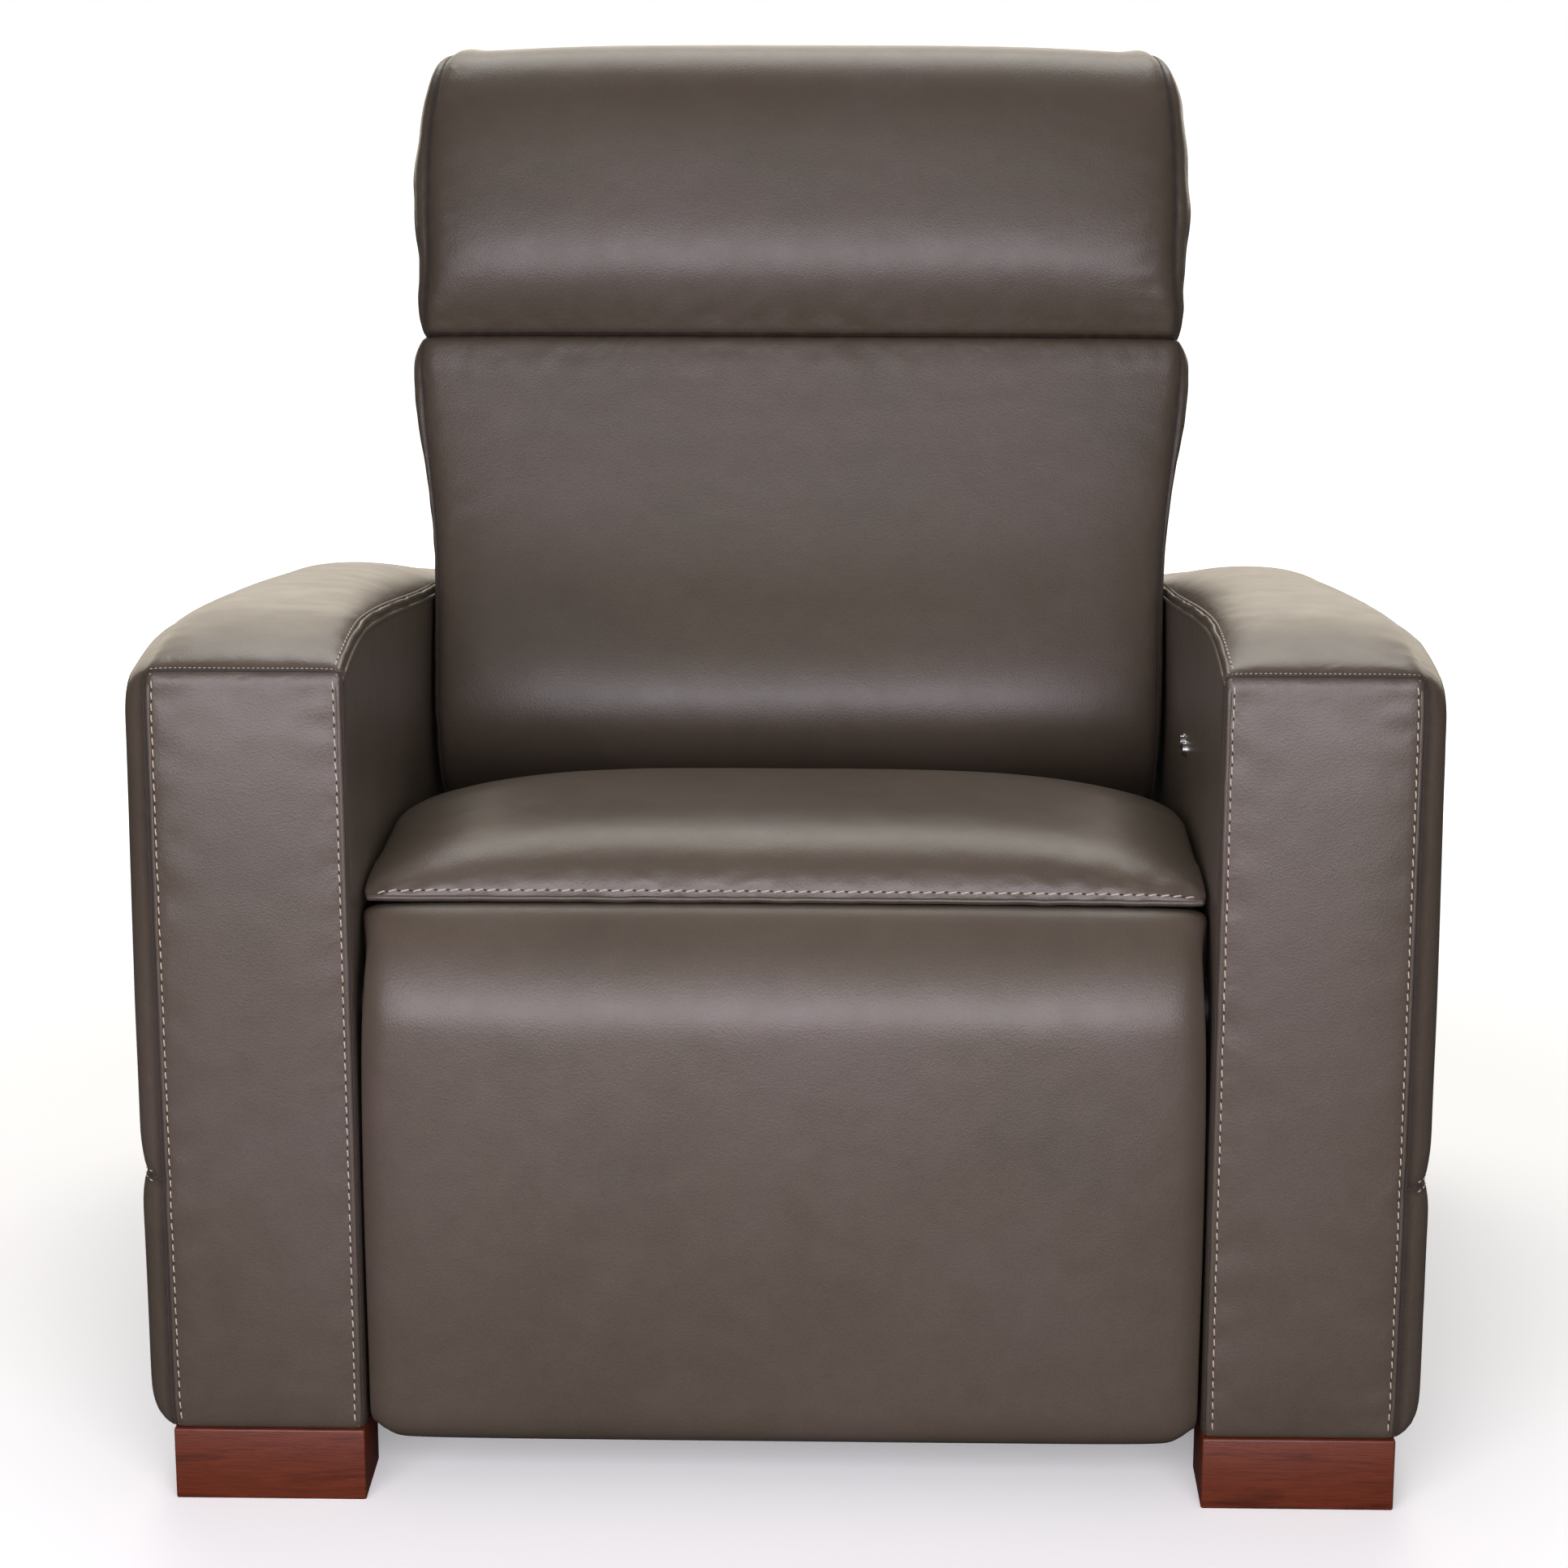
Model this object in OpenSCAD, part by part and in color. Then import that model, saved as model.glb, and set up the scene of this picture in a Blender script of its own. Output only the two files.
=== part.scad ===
/* [Overall] */
// Clear width between the two arms
seat_gap = 644; // [600:1:700]
// Reach from the front of the leg pad back to the back pivot
pivot_reach = 600; // [590:1:625]
// Height of the back pivot above the floor
back_pivot_h = 300; // [296:1:306]
// Height of the leg rest pivot above the floor
leg_pivot_h = 383; // [380:1:386]
// Height of the wooden feet
foot_h = 58; // [45:1:70]
// Lean of the back when upright, in degrees
back_lean = 16; // [14:0.5:17]

/* [Arms] */
// Width of one arm
arm_w = 166; // [150:1:200]
// Bulge of the arm's outer side past its front panel
arm_bulge = 18; // [8:1:24]
// Height of the arm's front top edge above the floor
arm_front_h = 659; // [640:1:680]
// Rise from the front top edge to the crest of the arm
arm_rise = 11; // [4:1:16]
// Distance of the crest behind the arm's front face
arm_crest_y = 120; // [90:1:160]
// Fall from the crest to the rear end of the arm
arm_fall = 87; // [60:1:100]
// Length of the arm, front to back
arm_len = 840; // [820:1:846]
// Distance of the arm's front face behind the leg pad's front
arm_setback = 10; // [4:1:16]
// Leather and thin foam over the arm's inner side
skin = 8; // [5:0.5:12]
// Foam over the arm frame's top edge
arm_foam = 30; // [22:1:40]
// Thickness of the plywood boards
board = 15; // [12:1:18]

/* [Feet] */
// Width of a foot
foot_w = 148; // [120:1:150]
// Depth of a foot, front to back
foot_d = 76; // [60:1:100]
// Distance of a foot from the arm's inner face
foot_inset = 1; // [0:0.5:4]
// Diameter of the bolt that holds a foot
foot_bolt_d = 8; // [6:1:10]

/* [Seat] */
// Rise of the seat's crest above the underside of its nose
seat_rise = 55; // [45:1:65]
// Height of the seat frame's top edge above the leg rest's pivot
seat_frame_lift = 17; // [14:1:20]
// Width of a seat frame board, top to bottom
seat_board_h = 40; // [34:1:42]
// Thickness of a seat frame board
seat_board = 20; // [16:1:22]
// Diameter of the spring wire
wire_d = 3.5; // [3:0.1:4]
// Number of seat springs
spring_count = 5; // [3:1:7]
// Gap from the seat's rear edge to the back pivot, front to back
seat_rear_gap = 98; // [96:1:104]

/* [Leg rest] */
// Thickness of the leg pad, and radius of its rolled top
pad_thick = 80; // [76:1:82]
// Length of the leg pad below its pivot
pad_drop = 333; // [300:1:340]
// Side clearance between the leg pad and an arm
pad_gap = 8; // [7.5:0.5:12]
// Opening angle of the leg rest, in degrees
leg_open = 82; // [70:1:82]
// Radius of the leg rest's crank
leg_crank_r = 50; // [46:1:50]

/* [Back] */
// Height of the back cushion's top above the pivot, along the back
crease_h = 513; // [500:1:525]
// Height of the headrest's top above the crease, along the back
head_h = 271; // [255:1:285]
// Distance of the cushion's front before the pivot, square to the back
back_front = 131; // [128:1:132]
// Distance of the rear cover behind the pivot, square to the back
back_rear = 75; // [72:1:84]
// Greatest half width of the back cushion
back_half_w = 341; // [335:1:346]
// Half width of the back where it passes between the arms
back_low_half_w = 316; // [312:0.5:316]
// Radius of the cushions' edges along the crease
crease_r = 36; // [30:1:38]
// Recline of the back, in degrees
recline = 35; // [30:1:35]
// Radius of the back's crank
back_crank_r = 100; // [96:1:104]

/* [Mechanism] */
// Thickness of the side rails
rail_t = 5; // [4:0.5:6]
// Diameter of the two cross shafts
shaft_d = 20; // [18:1:22]
// Outer size of the square cross tubes
tube_w = 25; // [22:1:26]
// Wall of the square cross tubes
tube_wall = 2; // [1.5:0.5:3]
// Diameter of an actuator rod
rod_d = 14; // [12:1:16]
// Outer diameter of an actuator tube
sleeve_d = 24; // [22:1:26]
// Diameter of the crank pins
pin_d = 10; // [8:1:11]
// Thickness of the crank levers
crank_t = 12; // [10:1:14]
// Thickness of one cheek of a slotted yoke
cheek_t = 6; // [5:1:8]
// Diameter of the mechanism's bolts
bolt_d = 8; // [6:1:10]

/* [Switch] */
// Diameter of a push button
button_d = 12; // [10:0.5:14]
// Distance between the two buttons
button_pitch = 25; // [20:1:30]
// Height of the buttons, as a share of the way from the seat's nose up to the arm's front top edge
button_share = 0.34; // [0.3:0.01:0.45]
// Distance of the buttons behind the arm's front face
button_y = 315; // [280:1:340]
// Travel of a button
button_travel = 1.5; // [1:0.1:2]

/* [Hidden] */
$fn = 48;
// Running clearance of a turning or sliding fit, on the radius
fit = 0.05;
// Clearance between parts that pass each other
gap = 1;
// Overrun of a cut past the face that it opens
over = 2;
// Number of spaces along half a padded section
pad_steps = 20;
// Squareness of a padded section, from 2 for round to 10 for square
pad_square = 5;

// Places that follow from the driving sizes
half_gap = seat_gap / 2;
// Height along the back of the rear cover's top edge, below the headrest's top
head_panel_drop = 16;
head_top = crease_h + head_h;
head_panel_top = head_top - head_panel_drop;
rear_reach = back_rear * cos(back_lean) + head_panel_top * sin(back_lean);
front_y = -(pivot_reach + rear_reach) / 2;
back_y = front_y + pivot_reach;
leg_y = front_y + pad_thick;
arm_y = front_y + arm_setback;
arm_rear_y = arm_y + arm_len;
arm_crest_h = arm_front_h + arm_rise;
seat_frame_h = leg_pivot_h + seat_frame_lift;
nose_z = leg_pivot_h + pad_thick + gap;
button_h = nose_z + (arm_front_h - nose_z) * button_share;
// Power of the arm top's fall behind its crest
arm_fall_power = 1.28;

function arm_top(y, d = 0) = let (s = y - arm_y - arm_crest_y)
    s < 0 ? arm_crest_h - arm_rise * pow(s / arm_crest_y, 2) - d
          : arm_crest_h - arm_fall * pow(s / (arm_len - arm_crest_y), arm_fall_power) - d;

// Padded forms
function spow(v, e) = sign(v) * pow(abs(v), e);
// One station holds the base point's y and z, the outward angle, the depth,
// the half width and the middle's x
function pad_ring(s, square) = [for (i = [0:pad_steps]) let (a = 180 * i / pad_steps,
    d = s[3] * spow(sin(a), 2 / square))
    [s[5] + s[4] * spow(cos(a), 2 / square), s[0] + d * cos(s[2]), s[1] + d * sin(s[2])]];
function pad_core(s) = [s[5], s[0] + s[3] * cos(s[2]) / 2, s[1] + s[3] * sin(s[2]) / 2];

module padded(stations, square = pad_square) {
    k = pad_steps + 1;
    n = len(stations) - 1;
    points = concat([pad_core(stations[0])], [for (s = stations) each pad_ring(s, square)],
        [pad_core(stations[n])]);
    last = len(points) - 1;
    sides = [for (i = [0:n - 1]) for (j = [0:k - 1]) let (a = 1 + i * k, b = a + k, m = (j + 1) % k)
        each [[a + j, a + m, b + m], [a + j, b + m, b + j]]];
    ends = [for (j = [0:k - 1]) let (m = (j + 1) % k, b = 1 + n * k)
        each [[0, 1 + m, 1 + j], [last, b + j, b + m]]];
    polyhedron(points, concat(sides, ends), convexity = 6);
}

// Shared shapes
module on_side(side) {
    if (side < 0) mirror([1, 0, 0]) children();
    else children();
}

// Extrudes an outline drawn in y and z along x
module along_x(x, t) {
    translate([x, 0, 0]) rotate([90, 0, 90]) linear_extrude(t) children();
}

module rod_x(x0, x1, d, y, z) {
    translate([x0, y, z]) rotate([0, 90, 0]) cylinder(h = x1 - x0, d = d);
}

module rod_y(y0, y1, d, x, z) {
    translate([x, y0, z]) rotate([-90, 0, 0]) cylinder(h = y1 - y0, d = d);
}

module block(x0, x1, y0, y1, z0, z1) {
    translate([x0, y0, z0]) cube([x1 - x0, y1 - y0, z1 - z0]);
}

module strip(y0, y1, z0, z1) {
    translate([y0, z0]) square([y1 - y0, z1 - z0]);
}

function arc(r, cx, cy, a0, a1, n = 6) = [for (i = [0:n]) let (a = a0 + (a1 - a0) * i / n)
    [cx + r * cos(a), cy + r * sin(a)]];
function round_box(x0, x1, y0, y1, r) = concat(arc(r, x0 + r, y0 + r, 180, 270),
    arc(r, x1 - r, y0 + r, 270, 360),
    arc(r, x1 - r, y1 - r, 0, 90), arc(r, x0 + r, y1 - r, 90, 180));

// Everything that leans with the back is drawn upright around the back pivot
module at_back() {
    translate([0, back_y, back_pivot_h]) rotate([-back_lean, 0, 0]) children();
}

// Arms
arm_in = half_gap;
arm_out = half_gap + arm_w;
arm_panel_x = arm_out - arm_bulge - board;
arm_mid = (arm_in + arm_out) / 2;
// Round of the arm's outer side onto its front and rear faces, in shares of the bulge and in places along
// the arm
arm_round_shares = [0, 0.45, 0.8, 1];
arm_round_step = 8;
// Places of the plain stations along the arm, in shares of its length
arm_place_shares = [0.09, 0.143, 0.2, 0.3, 0.42, 0.54, 0.66, 0.78, 0.88, 0.95];
// Drop of the arm's top edge at its very front and rear, where the leather turns over
arm_edge_drop = 6;

function arm_station(y, share, drop) = let (w = (arm_w - arm_bulge * (1 - share)) / 2)
    [y, foot_h, 90, arm_top(y, drop) - foot_h, w, arm_in + w];
arm_stations = concat(
    [for (i = [0:3]) arm_station(arm_y + i * arm_round_step, arm_round_shares[i],
        arm_edge_drop * (3 - i) / 3)],
    [for (s = arm_place_shares) arm_station(arm_y + s * arm_len, 1, 0)],
    [for (i = [3:-1:0]) arm_station(arm_rear_y - i * arm_round_step, arm_round_shares[i],
        arm_edge_drop * (3 - i) / 3)]);

// Outline in y and z of what the foam of the arm wraps, drawn in by a margin at the front and rear
arm_outline_steps = 14;
module arm_outline(margin, z0) {
    y0 = arm_y + margin;
    y1 = arm_rear_y - margin;
    polygon(concat([[y1, z0], [y0, z0]],
        [for (i = [0:arm_outline_steps]) let (y = y0 + (y1 - y0) * i / arm_outline_steps)
            [y, arm_top(y, arm_foam)]]));
}

// Drop of a side rail's lower edge below the back pivot, and the bar's height
rail_drop = 15;
rail_h = 60;
// Lap of the rails over the seat's side boards
rail_lap = 5;
rail_z = min(back_pivot_h - rail_drop, seat_frame_h - seat_board_h + rail_lap - rail_h);
// Distance of the rail's bolts from the leg rest's pivot, and from the back pivot
rail_bolt_front = 92;
rail_bolt_rear = 60;
// Places along the arm and above the floor of the bolts that hold a side rail
rail_bolt_places = [for (y = [leg_y + rail_bolt_front, back_y - rail_bolt_rear]) for (s = [1, 3])
    [y, rail_z + rail_h * s / 4]];
arm_end = 12;
switch_y = arm_y + button_y;
bezel_wall = 1.5;
button_collar_d = button_d + bezel_wall * 2;

module arm_frame() {
    difference() {
        union() {
            along_x(arm_in + skin, board) arm_outline(arm_end, foot_h);
            along_x(arm_panel_x, board) arm_outline(arm_end, foot_h);
            block(arm_in + skin + board, arm_panel_x, arm_y + arm_end, arm_rear_y - arm_end, foot_h,
                foot_h + board);
            block(arm_in + skin + board, arm_panel_x, arm_y + arm_end, arm_y + arm_end + board,
                foot_h + board, arm_front_h - arm_foam * 2);
            block(arm_in + skin + board, arm_panel_x, arm_rear_y - arm_end - board, arm_rear_y - arm_end,
                foot_h + board, arm_crest_h - arm_fall - arm_foam * 2);
        }
        for (p = rail_bolt_places) rod_x(arm_in, arm_in + skin + board + over, bolt_d, p[0], p[1]);
        for (y = foot_middles) translate([foot_x, y, 0]) cylinder(h = foot_h + board + over,
            d = foot_bolt_d);
    }
}

module arm_pad() {
    difference() {
        padded(arm_stations, 10);
        along_x(arm_in + skin, arm_panel_x + board - arm_in - skin) arm_outline(arm_end, foot_h - over);
        for (p = rail_bolt_places) rod_x(arm_in - over, arm_in + skin + over, bolt_d, p[0], p[1]);
    }
}

module switch_holes(x1) {
    for (s = [-1, 1]) rod_x(arm_in - over, x1, button_collar_d, switch_y + s * button_pitch / 2, button_h);
}

module left_arm_frame() color("burlywood") mirror([1, 0, 0]) arm_frame();
module right_arm_frame() color("burlywood") difference() {
    arm_frame();
    switch_holes(arm_in + skin + board + over);
    inlet_hole();
}
module left_arm_pad() color([0.42, 0.37, 0.34]) mirror([1, 0, 0]) arm_pad();
module right_arm_pad() color([0.42, 0.37, 0.34]) difference() {
    arm_pad();
    switch_holes(arm_in + skin + over);
    inlet_hole();
}

// Feet, with a recess under each for the bolt's head
foot_x = arm_in + foot_inset + foot_w / 2;
foot_middles = [arm_y + foot_d / 2, arm_rear_y - foot_d / 2];
foot_edge_r = 3;
foot_head_d = foot_bolt_d * 2;
foot_head_h = 6;
foot_recess_h = 14;

module foot(side, y) {
    color([0.40, 0.19, 0.12]) on_side(side) difference() {
        linear_extrude(foot_h) polygon(round_box(foot_x - foot_w / 2, foot_x + foot_w / 2, y - foot_d / 2,
            y + foot_d / 2, foot_edge_r));
        translate([foot_x, y, -over]) cylinder(h = foot_h + over * 2, d = foot_bolt_d);
        translate([foot_x, y, -over]) cylinder(h = foot_recess_h + over, d = foot_head_d + gap * 2);
    }
}
module front_left_foot() foot(-1, foot_middles[0]);
module front_right_foot() foot(1, foot_middles[0]);
module rear_left_foot() foot(-1, foot_middles[1]);
module rear_right_foot() foot(1, foot_middles[1]);

module foot_bolts() {
    color("silver") for (side = [-1, 1]) for (y = foot_middles) on_side(side)
        translate([foot_x, y, foot_recess_h - foot_head_h]) {
        cylinder(h = foot_head_h, d = foot_head_d);
        cylinder(h = foot_head_h + foot_h + board - foot_recess_h, d = foot_bolt_d);
    }
}

// Clearance of the seat frame behind the leg pad's swing
seat_swing_gap = 5;
seat_front_gap = pad_thick + seat_swing_gap;
seat_rear_y = back_y - seat_rear_gap;

// Side rails, which carry both shafts, the cross tubes and the seat frame
rail_in = half_gap - rail_t;
rail_eye_d = 52;
rail_tab_w = 60;
rail_neck_w = 90;
bush_wall = 3;
bush_d = shaft_d + bush_wall * 2;
bush_flange_t = 2;
// Places of the two cross tubes: the run behind or before a pivot, and the drop below it
leg_tube_run = 203;
leg_tube_drop = 83;
back_tube_run = 199;
back_tube_drop = 78;
leg_tube_y = leg_y + leg_tube_run;
leg_tube_z = leg_pivot_h - leg_tube_drop;
back_tube_y = back_y - back_tube_run;
back_tube_z = back_pivot_h - back_tube_drop;
tab_places = [leg_y + seat_front_gap + rail_tab_w / 2 + seat_board,
    seat_rear_y - rail_tab_w / 2 - seat_board];

// The part of a rail that reaches from its bar's middle to a cross tube
module tube_lobe(y, z) {
    strip(y - rail_tab_w / 2, y + rail_tab_w / 2, min(z - over, rail_z),
        max(z + tube_w + over, rail_z + rail_h));
}

module side_rail(side) {
    color([0.2, 0.2, 0.21]) on_side(side) difference() {
        along_x(rail_in, rail_t) difference() {
            union() {
                strip(leg_y + rail_eye_d / 2, back_y, rail_z, rail_z + rail_h);
                strip(leg_y, leg_y + rail_neck_w, rail_z + rail_h / 2, leg_pivot_h + rail_eye_d / 2 - over);
                tube_lobe(leg_tube_y, leg_tube_z);
                strip(back_y - rail_eye_d / 2, back_y, rail_z, back_pivot_h);
                tube_lobe(back_tube_y, back_tube_z);
                for (y = tab_places) strip(y - rail_tab_w / 2, y + rail_tab_w / 2, rail_z + rail_h / 2,
                    seat_frame_h - over);
                translate([leg_y, leg_pivot_h]) circle(d = rail_eye_d);
                translate([back_y, back_pivot_h]) circle(d = rail_eye_d);
            }
            translate([leg_y, leg_pivot_h]) circle(d = bush_d);
            translate([back_y, back_pivot_h]) circle(d = bush_d);
            for (p = rail_bolt_places) translate([p[0], p[1]]) circle(d = bolt_d);
        }
    }
}
module left_side_rail() side_rail(-1);
module right_side_rail() side_rail(1);

bolt_head_d = bolt_d * 1.75;
bolt_head_h = bolt_d * 0.6;
module rail_bolts() {
    color("silver") for (side = [-1, 1]) for (p = rail_bolt_places) on_side(side) {
        rod_x(rail_in - bolt_head_h, rail_in, bolt_head_d, p[0], p[1]);
        rod_x(rail_in, arm_in + skin + board, bolt_d, p[0], p[1]);
        rod_x(arm_in + skin + board, arm_in + skin + board + bolt_head_h, bolt_head_d, p[0], p[1]);
    }
}

module cross_tube(y, z) {
    color([0.2, 0.2, 0.21]) along_x(-rail_in, rail_in * 2) difference() {
        strip(y - tube_w / 2, y + tube_w / 2, z, z + tube_w);
        strip(y - tube_w / 2 + tube_wall, y + tube_w / 2 - tube_wall, z + tube_wall,
            z + tube_w - tube_wall);
    }
}
module front_cross_rail() cross_tube(leg_tube_y, leg_tube_z);
module rear_cross_rail() cross_tube(back_tube_y, back_tube_z);

// Seat
seat_in = rail_in - seat_board;
seat_z0 = seat_frame_h - seat_board_h;
wire_z = seat_frame_h;
seat_side_gap = 2;
seat_half_w = half_gap - seat_side_gap;

module seat_side_boards() {
    color("burlywood") for (side = [-1, 1]) on_side(side)
        block(seat_in, rail_in, leg_y + seat_front_gap, seat_rear_y, seat_z0, seat_frame_h);
}
module seat_front_board() color("burlywood")
    block(-seat_in, seat_in, leg_y + seat_front_gap, leg_y + seat_front_gap + seat_board, seat_z0,
        seat_frame_h);
module seat_rear_board() color("burlywood")
    block(-seat_in, seat_in, seat_rear_y - seat_board, seat_rear_y, seat_z0, seat_frame_h);

// Half width of a spring's zigzag and the number of its half waves
wave_w = 22;
wave_count = 10;
spring_bite = 8;
spring_y0 = leg_y + seat_front_gap + spring_bite;
spring_y1 = seat_rear_y - spring_bite;
function wave_line(side) = [for (i = [0:wave_count])
    let (s = (i == 0 || i == wave_count) ? 0 : (i % 2 == 0 ? 1 : -1))
    [s * wave_w + side * wire_d / 2, spring_y0 + (spring_y1 - spring_y0) * i / wave_count]];
function flipped(a) = [for (i = [len(a) - 1:-1:0]) a[i]];
module seat_springs() {
    color("silver") for (i = [0:spring_count - 1])
        translate([(i - (spring_count - 1) / 2) * seat_in * 2 / spring_count, 0, wire_z])
        linear_extrude(wire_d) polygon(concat(wave_line(-1), flipped(wave_line(1))));
}

// Seat cushion, from the rolled nose over the leg rest back to the back cushion
seat_low_z = wire_z + wire_d;
// Rise of the nose's roll, in shares of the seat's rise, and its run behind the front edge in shares of
// the nose's run
nose_run = 200;
nose_edge_share = 0.985;
nose_rise_shares = [[-0.02, 0.06], [0.0, 0.22], [0.03, 0.42], [0.1, 0.64], [0.2, 0.79], [0.36, 0.9]];
seat_rise_shares = [[0.46, 0.95], [0.75, 0.99], [1, 1]];
seat_tail_shares = [[0.3, 0.98], [0.6, 0.93], [0.85, 0.88], [0.97, 0.8], [1, 0.62]];
function seat_station(y, z0, rise, share = 1) = [y, z0, 90, nose_z + rise * seat_rise - z0,
    seat_half_w * share, 0];
crest_y = leg_y + nose_run;
module seat_cushion() color([0.42, 0.37, 0.34]) padded(concat(
    [for (p = nose_rise_shares) seat_station(leg_y + p[0] * nose_run, nose_z, p[1],
        p[0] < 0 ? nose_edge_share : 1)],
    [for (p = seat_rise_shares) seat_station(leg_y + p[0] * nose_run, seat_low_z, p[1])],
    [for (p = seat_tail_shares) seat_station(crest_y + p[0] * (seat_rear_y - crest_y), seat_low_z, p[1])]));

// Leg rest drive: a crank below the shaft swings evenly about straight down, and its pin works in a
// slotted yoke
leg_pin_z = leg_pivot_h - leg_crank_r * cos(leg_open / 2);
leg_pin_y = leg_y + leg_crank_r * sin(leg_open / 2);
leg_rod_z = (leg_pin_z + leg_pivot_h - leg_crank_r) / 2;
leg_stroke = leg_crank_r * sin(leg_open / 2) * 2;
// Recline drive, the same on the back's shaft, with its rod pointing rearwards
back_pin_z = back_pivot_h - back_crank_r * cos(recline / 2);
back_pin_y = back_y + back_crank_r * sin(recline / 2);
back_rod_z = (back_pin_z + back_pivot_h - back_crank_r) / 2;
back_stroke = back_crank_r * sin(recline / 2) * 2;

// Half width of a yoke's slot past the pin, for the crank's uneven push
slot_play = 1.6;
yoke_wall = 6;
yoke_neck = 22;
yoke_block_t = 10;
rod_hold = 40;
sleeve_end_gap = 3;
gear_w = 60;
gear_h = 40;
gear_d = 50;
motor_d = 40;
motor_len = 85;
cheek_x = crank_t / 2 + gap;
yoke_x = cheek_x + cheek_t;
sleeve_len = 110;

hub_wall = 7;
hub_d = shaft_d + hub_wall * 2;

// A yoke and its rod, with the pin's lowest and highest place, running away from the pin in direction dir
module yoke_rod(pin_y, rod_z, low_z, high_z, dir, rod_len) {
    half_y = pin_d / 2 + slot_play;
    y0 = pin_y + dir * yoke_neck;
    y1 = y0 + dir * yoke_block_t;
    z0 = low_z - pin_d / 2 - gap - yoke_wall;
    z1 = high_z + pin_d / 2 + gap + yoke_wall;
    color("silver") {
        difference() {
            union() {
                for (side = [-1, 1]) on_side(side)
                    along_x(cheek_x, cheek_t) strip(min(pin_y - dir * (half_y + yoke_wall), y1),
                        max(pin_y - dir * (half_y + yoke_wall), y1), z0, z1);
                block(-yoke_x, yoke_x, min(y0, y1), max(y0, y1), z0, z1);
                rod_y(min(y1, y1 + dir * rod_len), max(y1, y1 + dir * rod_len), rod_d, 0, rod_z);
            }
            for (side = [-1, 1]) on_side(side)
                along_x(cheek_x - over, cheek_t + over * 2) strip(pin_y - half_y, pin_y + half_y,
                    z0 + yoke_wall, z1 - yoke_wall);
        }
    }
}

// A lever with its hub on a shaft and its pin, turned back from straight down
module crank(y, z, r, turn) {
    color([0.35, 0.35, 0.36]) translate([0, y, z]) rotate([turn, 0, 0]) difference() {
        union() {
            along_x(-crank_t / 2, crank_t) {
                circle(d = hub_d);
                translate([-pin_d * 0.7, -r]) square([pin_d * 1.4, r]);
                translate([0, -r]) circle(d = pin_d * 1.6);
            }
            rod_x(-yoke_x - over, yoke_x + over, pin_d, 0, -r);
        }
        rod_x(-crank_t, crank_t, shaft_d, 0, 0);
    }
}

// A guide tube round the rod, closed by the gearbox at its other end
module sleeve(y0, y1, z) {
    color([0.55, 0.56, 0.58]) difference() {
        rod_y(y0, y1, sleeve_d, 0, z);
        rod_y(y0 - over, y1 + over, rod_d + fit * 2, 0, z);
    }
}

leg_yoke_end = leg_pin_y + yoke_neck + yoke_block_t;
leg_sleeve_y = leg_yoke_end + sleeve_end_gap;
leg_gear_y = leg_sleeve_y + sleeve_len;
module leg_rod() yoke_rod(leg_pin_y, leg_rod_z, leg_pivot_h - leg_crank_r, leg_pin_z, 1,
    leg_stroke + rod_hold);
module leg_sleeve() sleeve(leg_sleeve_y, leg_gear_y, leg_rod_z);
module leg_gearbox() color([0.12, 0.12, 0.13])
    block(-gear_w / 2, gear_w / 2, leg_gear_y, leg_gear_y + gear_d, leg_tube_z + tube_w,
        leg_tube_z + tube_w + gear_h);
module leg_motor() color([0.3, 0.3, 0.32])
    rod_x(gear_w / 2, gear_w / 2 + motor_len, motor_d, leg_gear_y + gear_d / 2,
        leg_tube_z + tube_w + motor_d / 2);

back_yoke_end = back_pin_y - yoke_neck - yoke_block_t;
back_sleeve_y = back_yoke_end - back_stroke - sleeve_end_gap;
back_gear_y = back_sleeve_y - sleeve_len;
module recline_rod() yoke_rod(back_pin_y, back_rod_z, back_pivot_h - back_crank_r, back_pin_z, -1,
    back_stroke + rod_hold);
module recline_sleeve() sleeve(back_gear_y, back_sleeve_y, back_rod_z);
module recline_gearbox() color([0.12, 0.12, 0.13])
    block(-gear_w / 2, gear_w / 2, back_gear_y - gear_d, back_gear_y, back_tube_z - gear_h, back_tube_z);
module recline_motor() color([0.3, 0.3, 0.32])
    rod_x(gear_w / 2, gear_w / 2 + motor_len, motor_d, back_gear_y - gear_d / 2, back_tube_z - motor_d / 2);

// Lower rear panel between the arms, which closes the back behind the mechanism
apron_t = 15;
apron_top = 350;
module rear_apron() color([0.42, 0.37, 0.34])
    block(-half_gap, half_gap, arm_rear_y - arm_end - apron_t, arm_rear_y - arm_end, foot_h, apron_top);

// Control box on the front cross tube, beside the gearbox
box_w = 110;
box_d = 70;
box_h = 26;
box_gap = 20;
module control_box() color([0.12, 0.12, 0.13]) translate([-gear_w / 2 - box_gap - box_w,
    leg_tube_y - box_d / 2, leg_tube_z + tube_w])
    linear_extrude(box_h) polygon(round_box(0, box_w, 0, box_d, foot_edge_r));

// Power inlet in the rear of the right arm
inlet_d = 24;
inlet_bore_d = 8;
inlet_bore_len = 16;
inlet_len = 34;
inlet_flange_d = 34;
inlet_flange_t = 2;
inlet_rise = 60;
inlet_z = foot_h + inlet_rise;
module inlet_hole() rod_y(arm_rear_y - arm_end - board - over, arm_rear_y + over, inlet_d, arm_mid,
    inlet_z);
module power_inlet() color([0.08, 0.08, 0.08]) difference() {
    union() {
        rod_y(arm_rear_y - inlet_len, arm_rear_y, inlet_d, arm_mid, inlet_z);
        rod_y(arm_rear_y, arm_rear_y + inlet_flange_t, inlet_flange_d, arm_mid, inlet_z);
    }
    rod_y(arm_rear_y + inlet_flange_t - inlet_bore_len, arm_rear_y + inlet_flange_t + over, inlet_bore_d,
        arm_mid, inlet_z);
}

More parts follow.
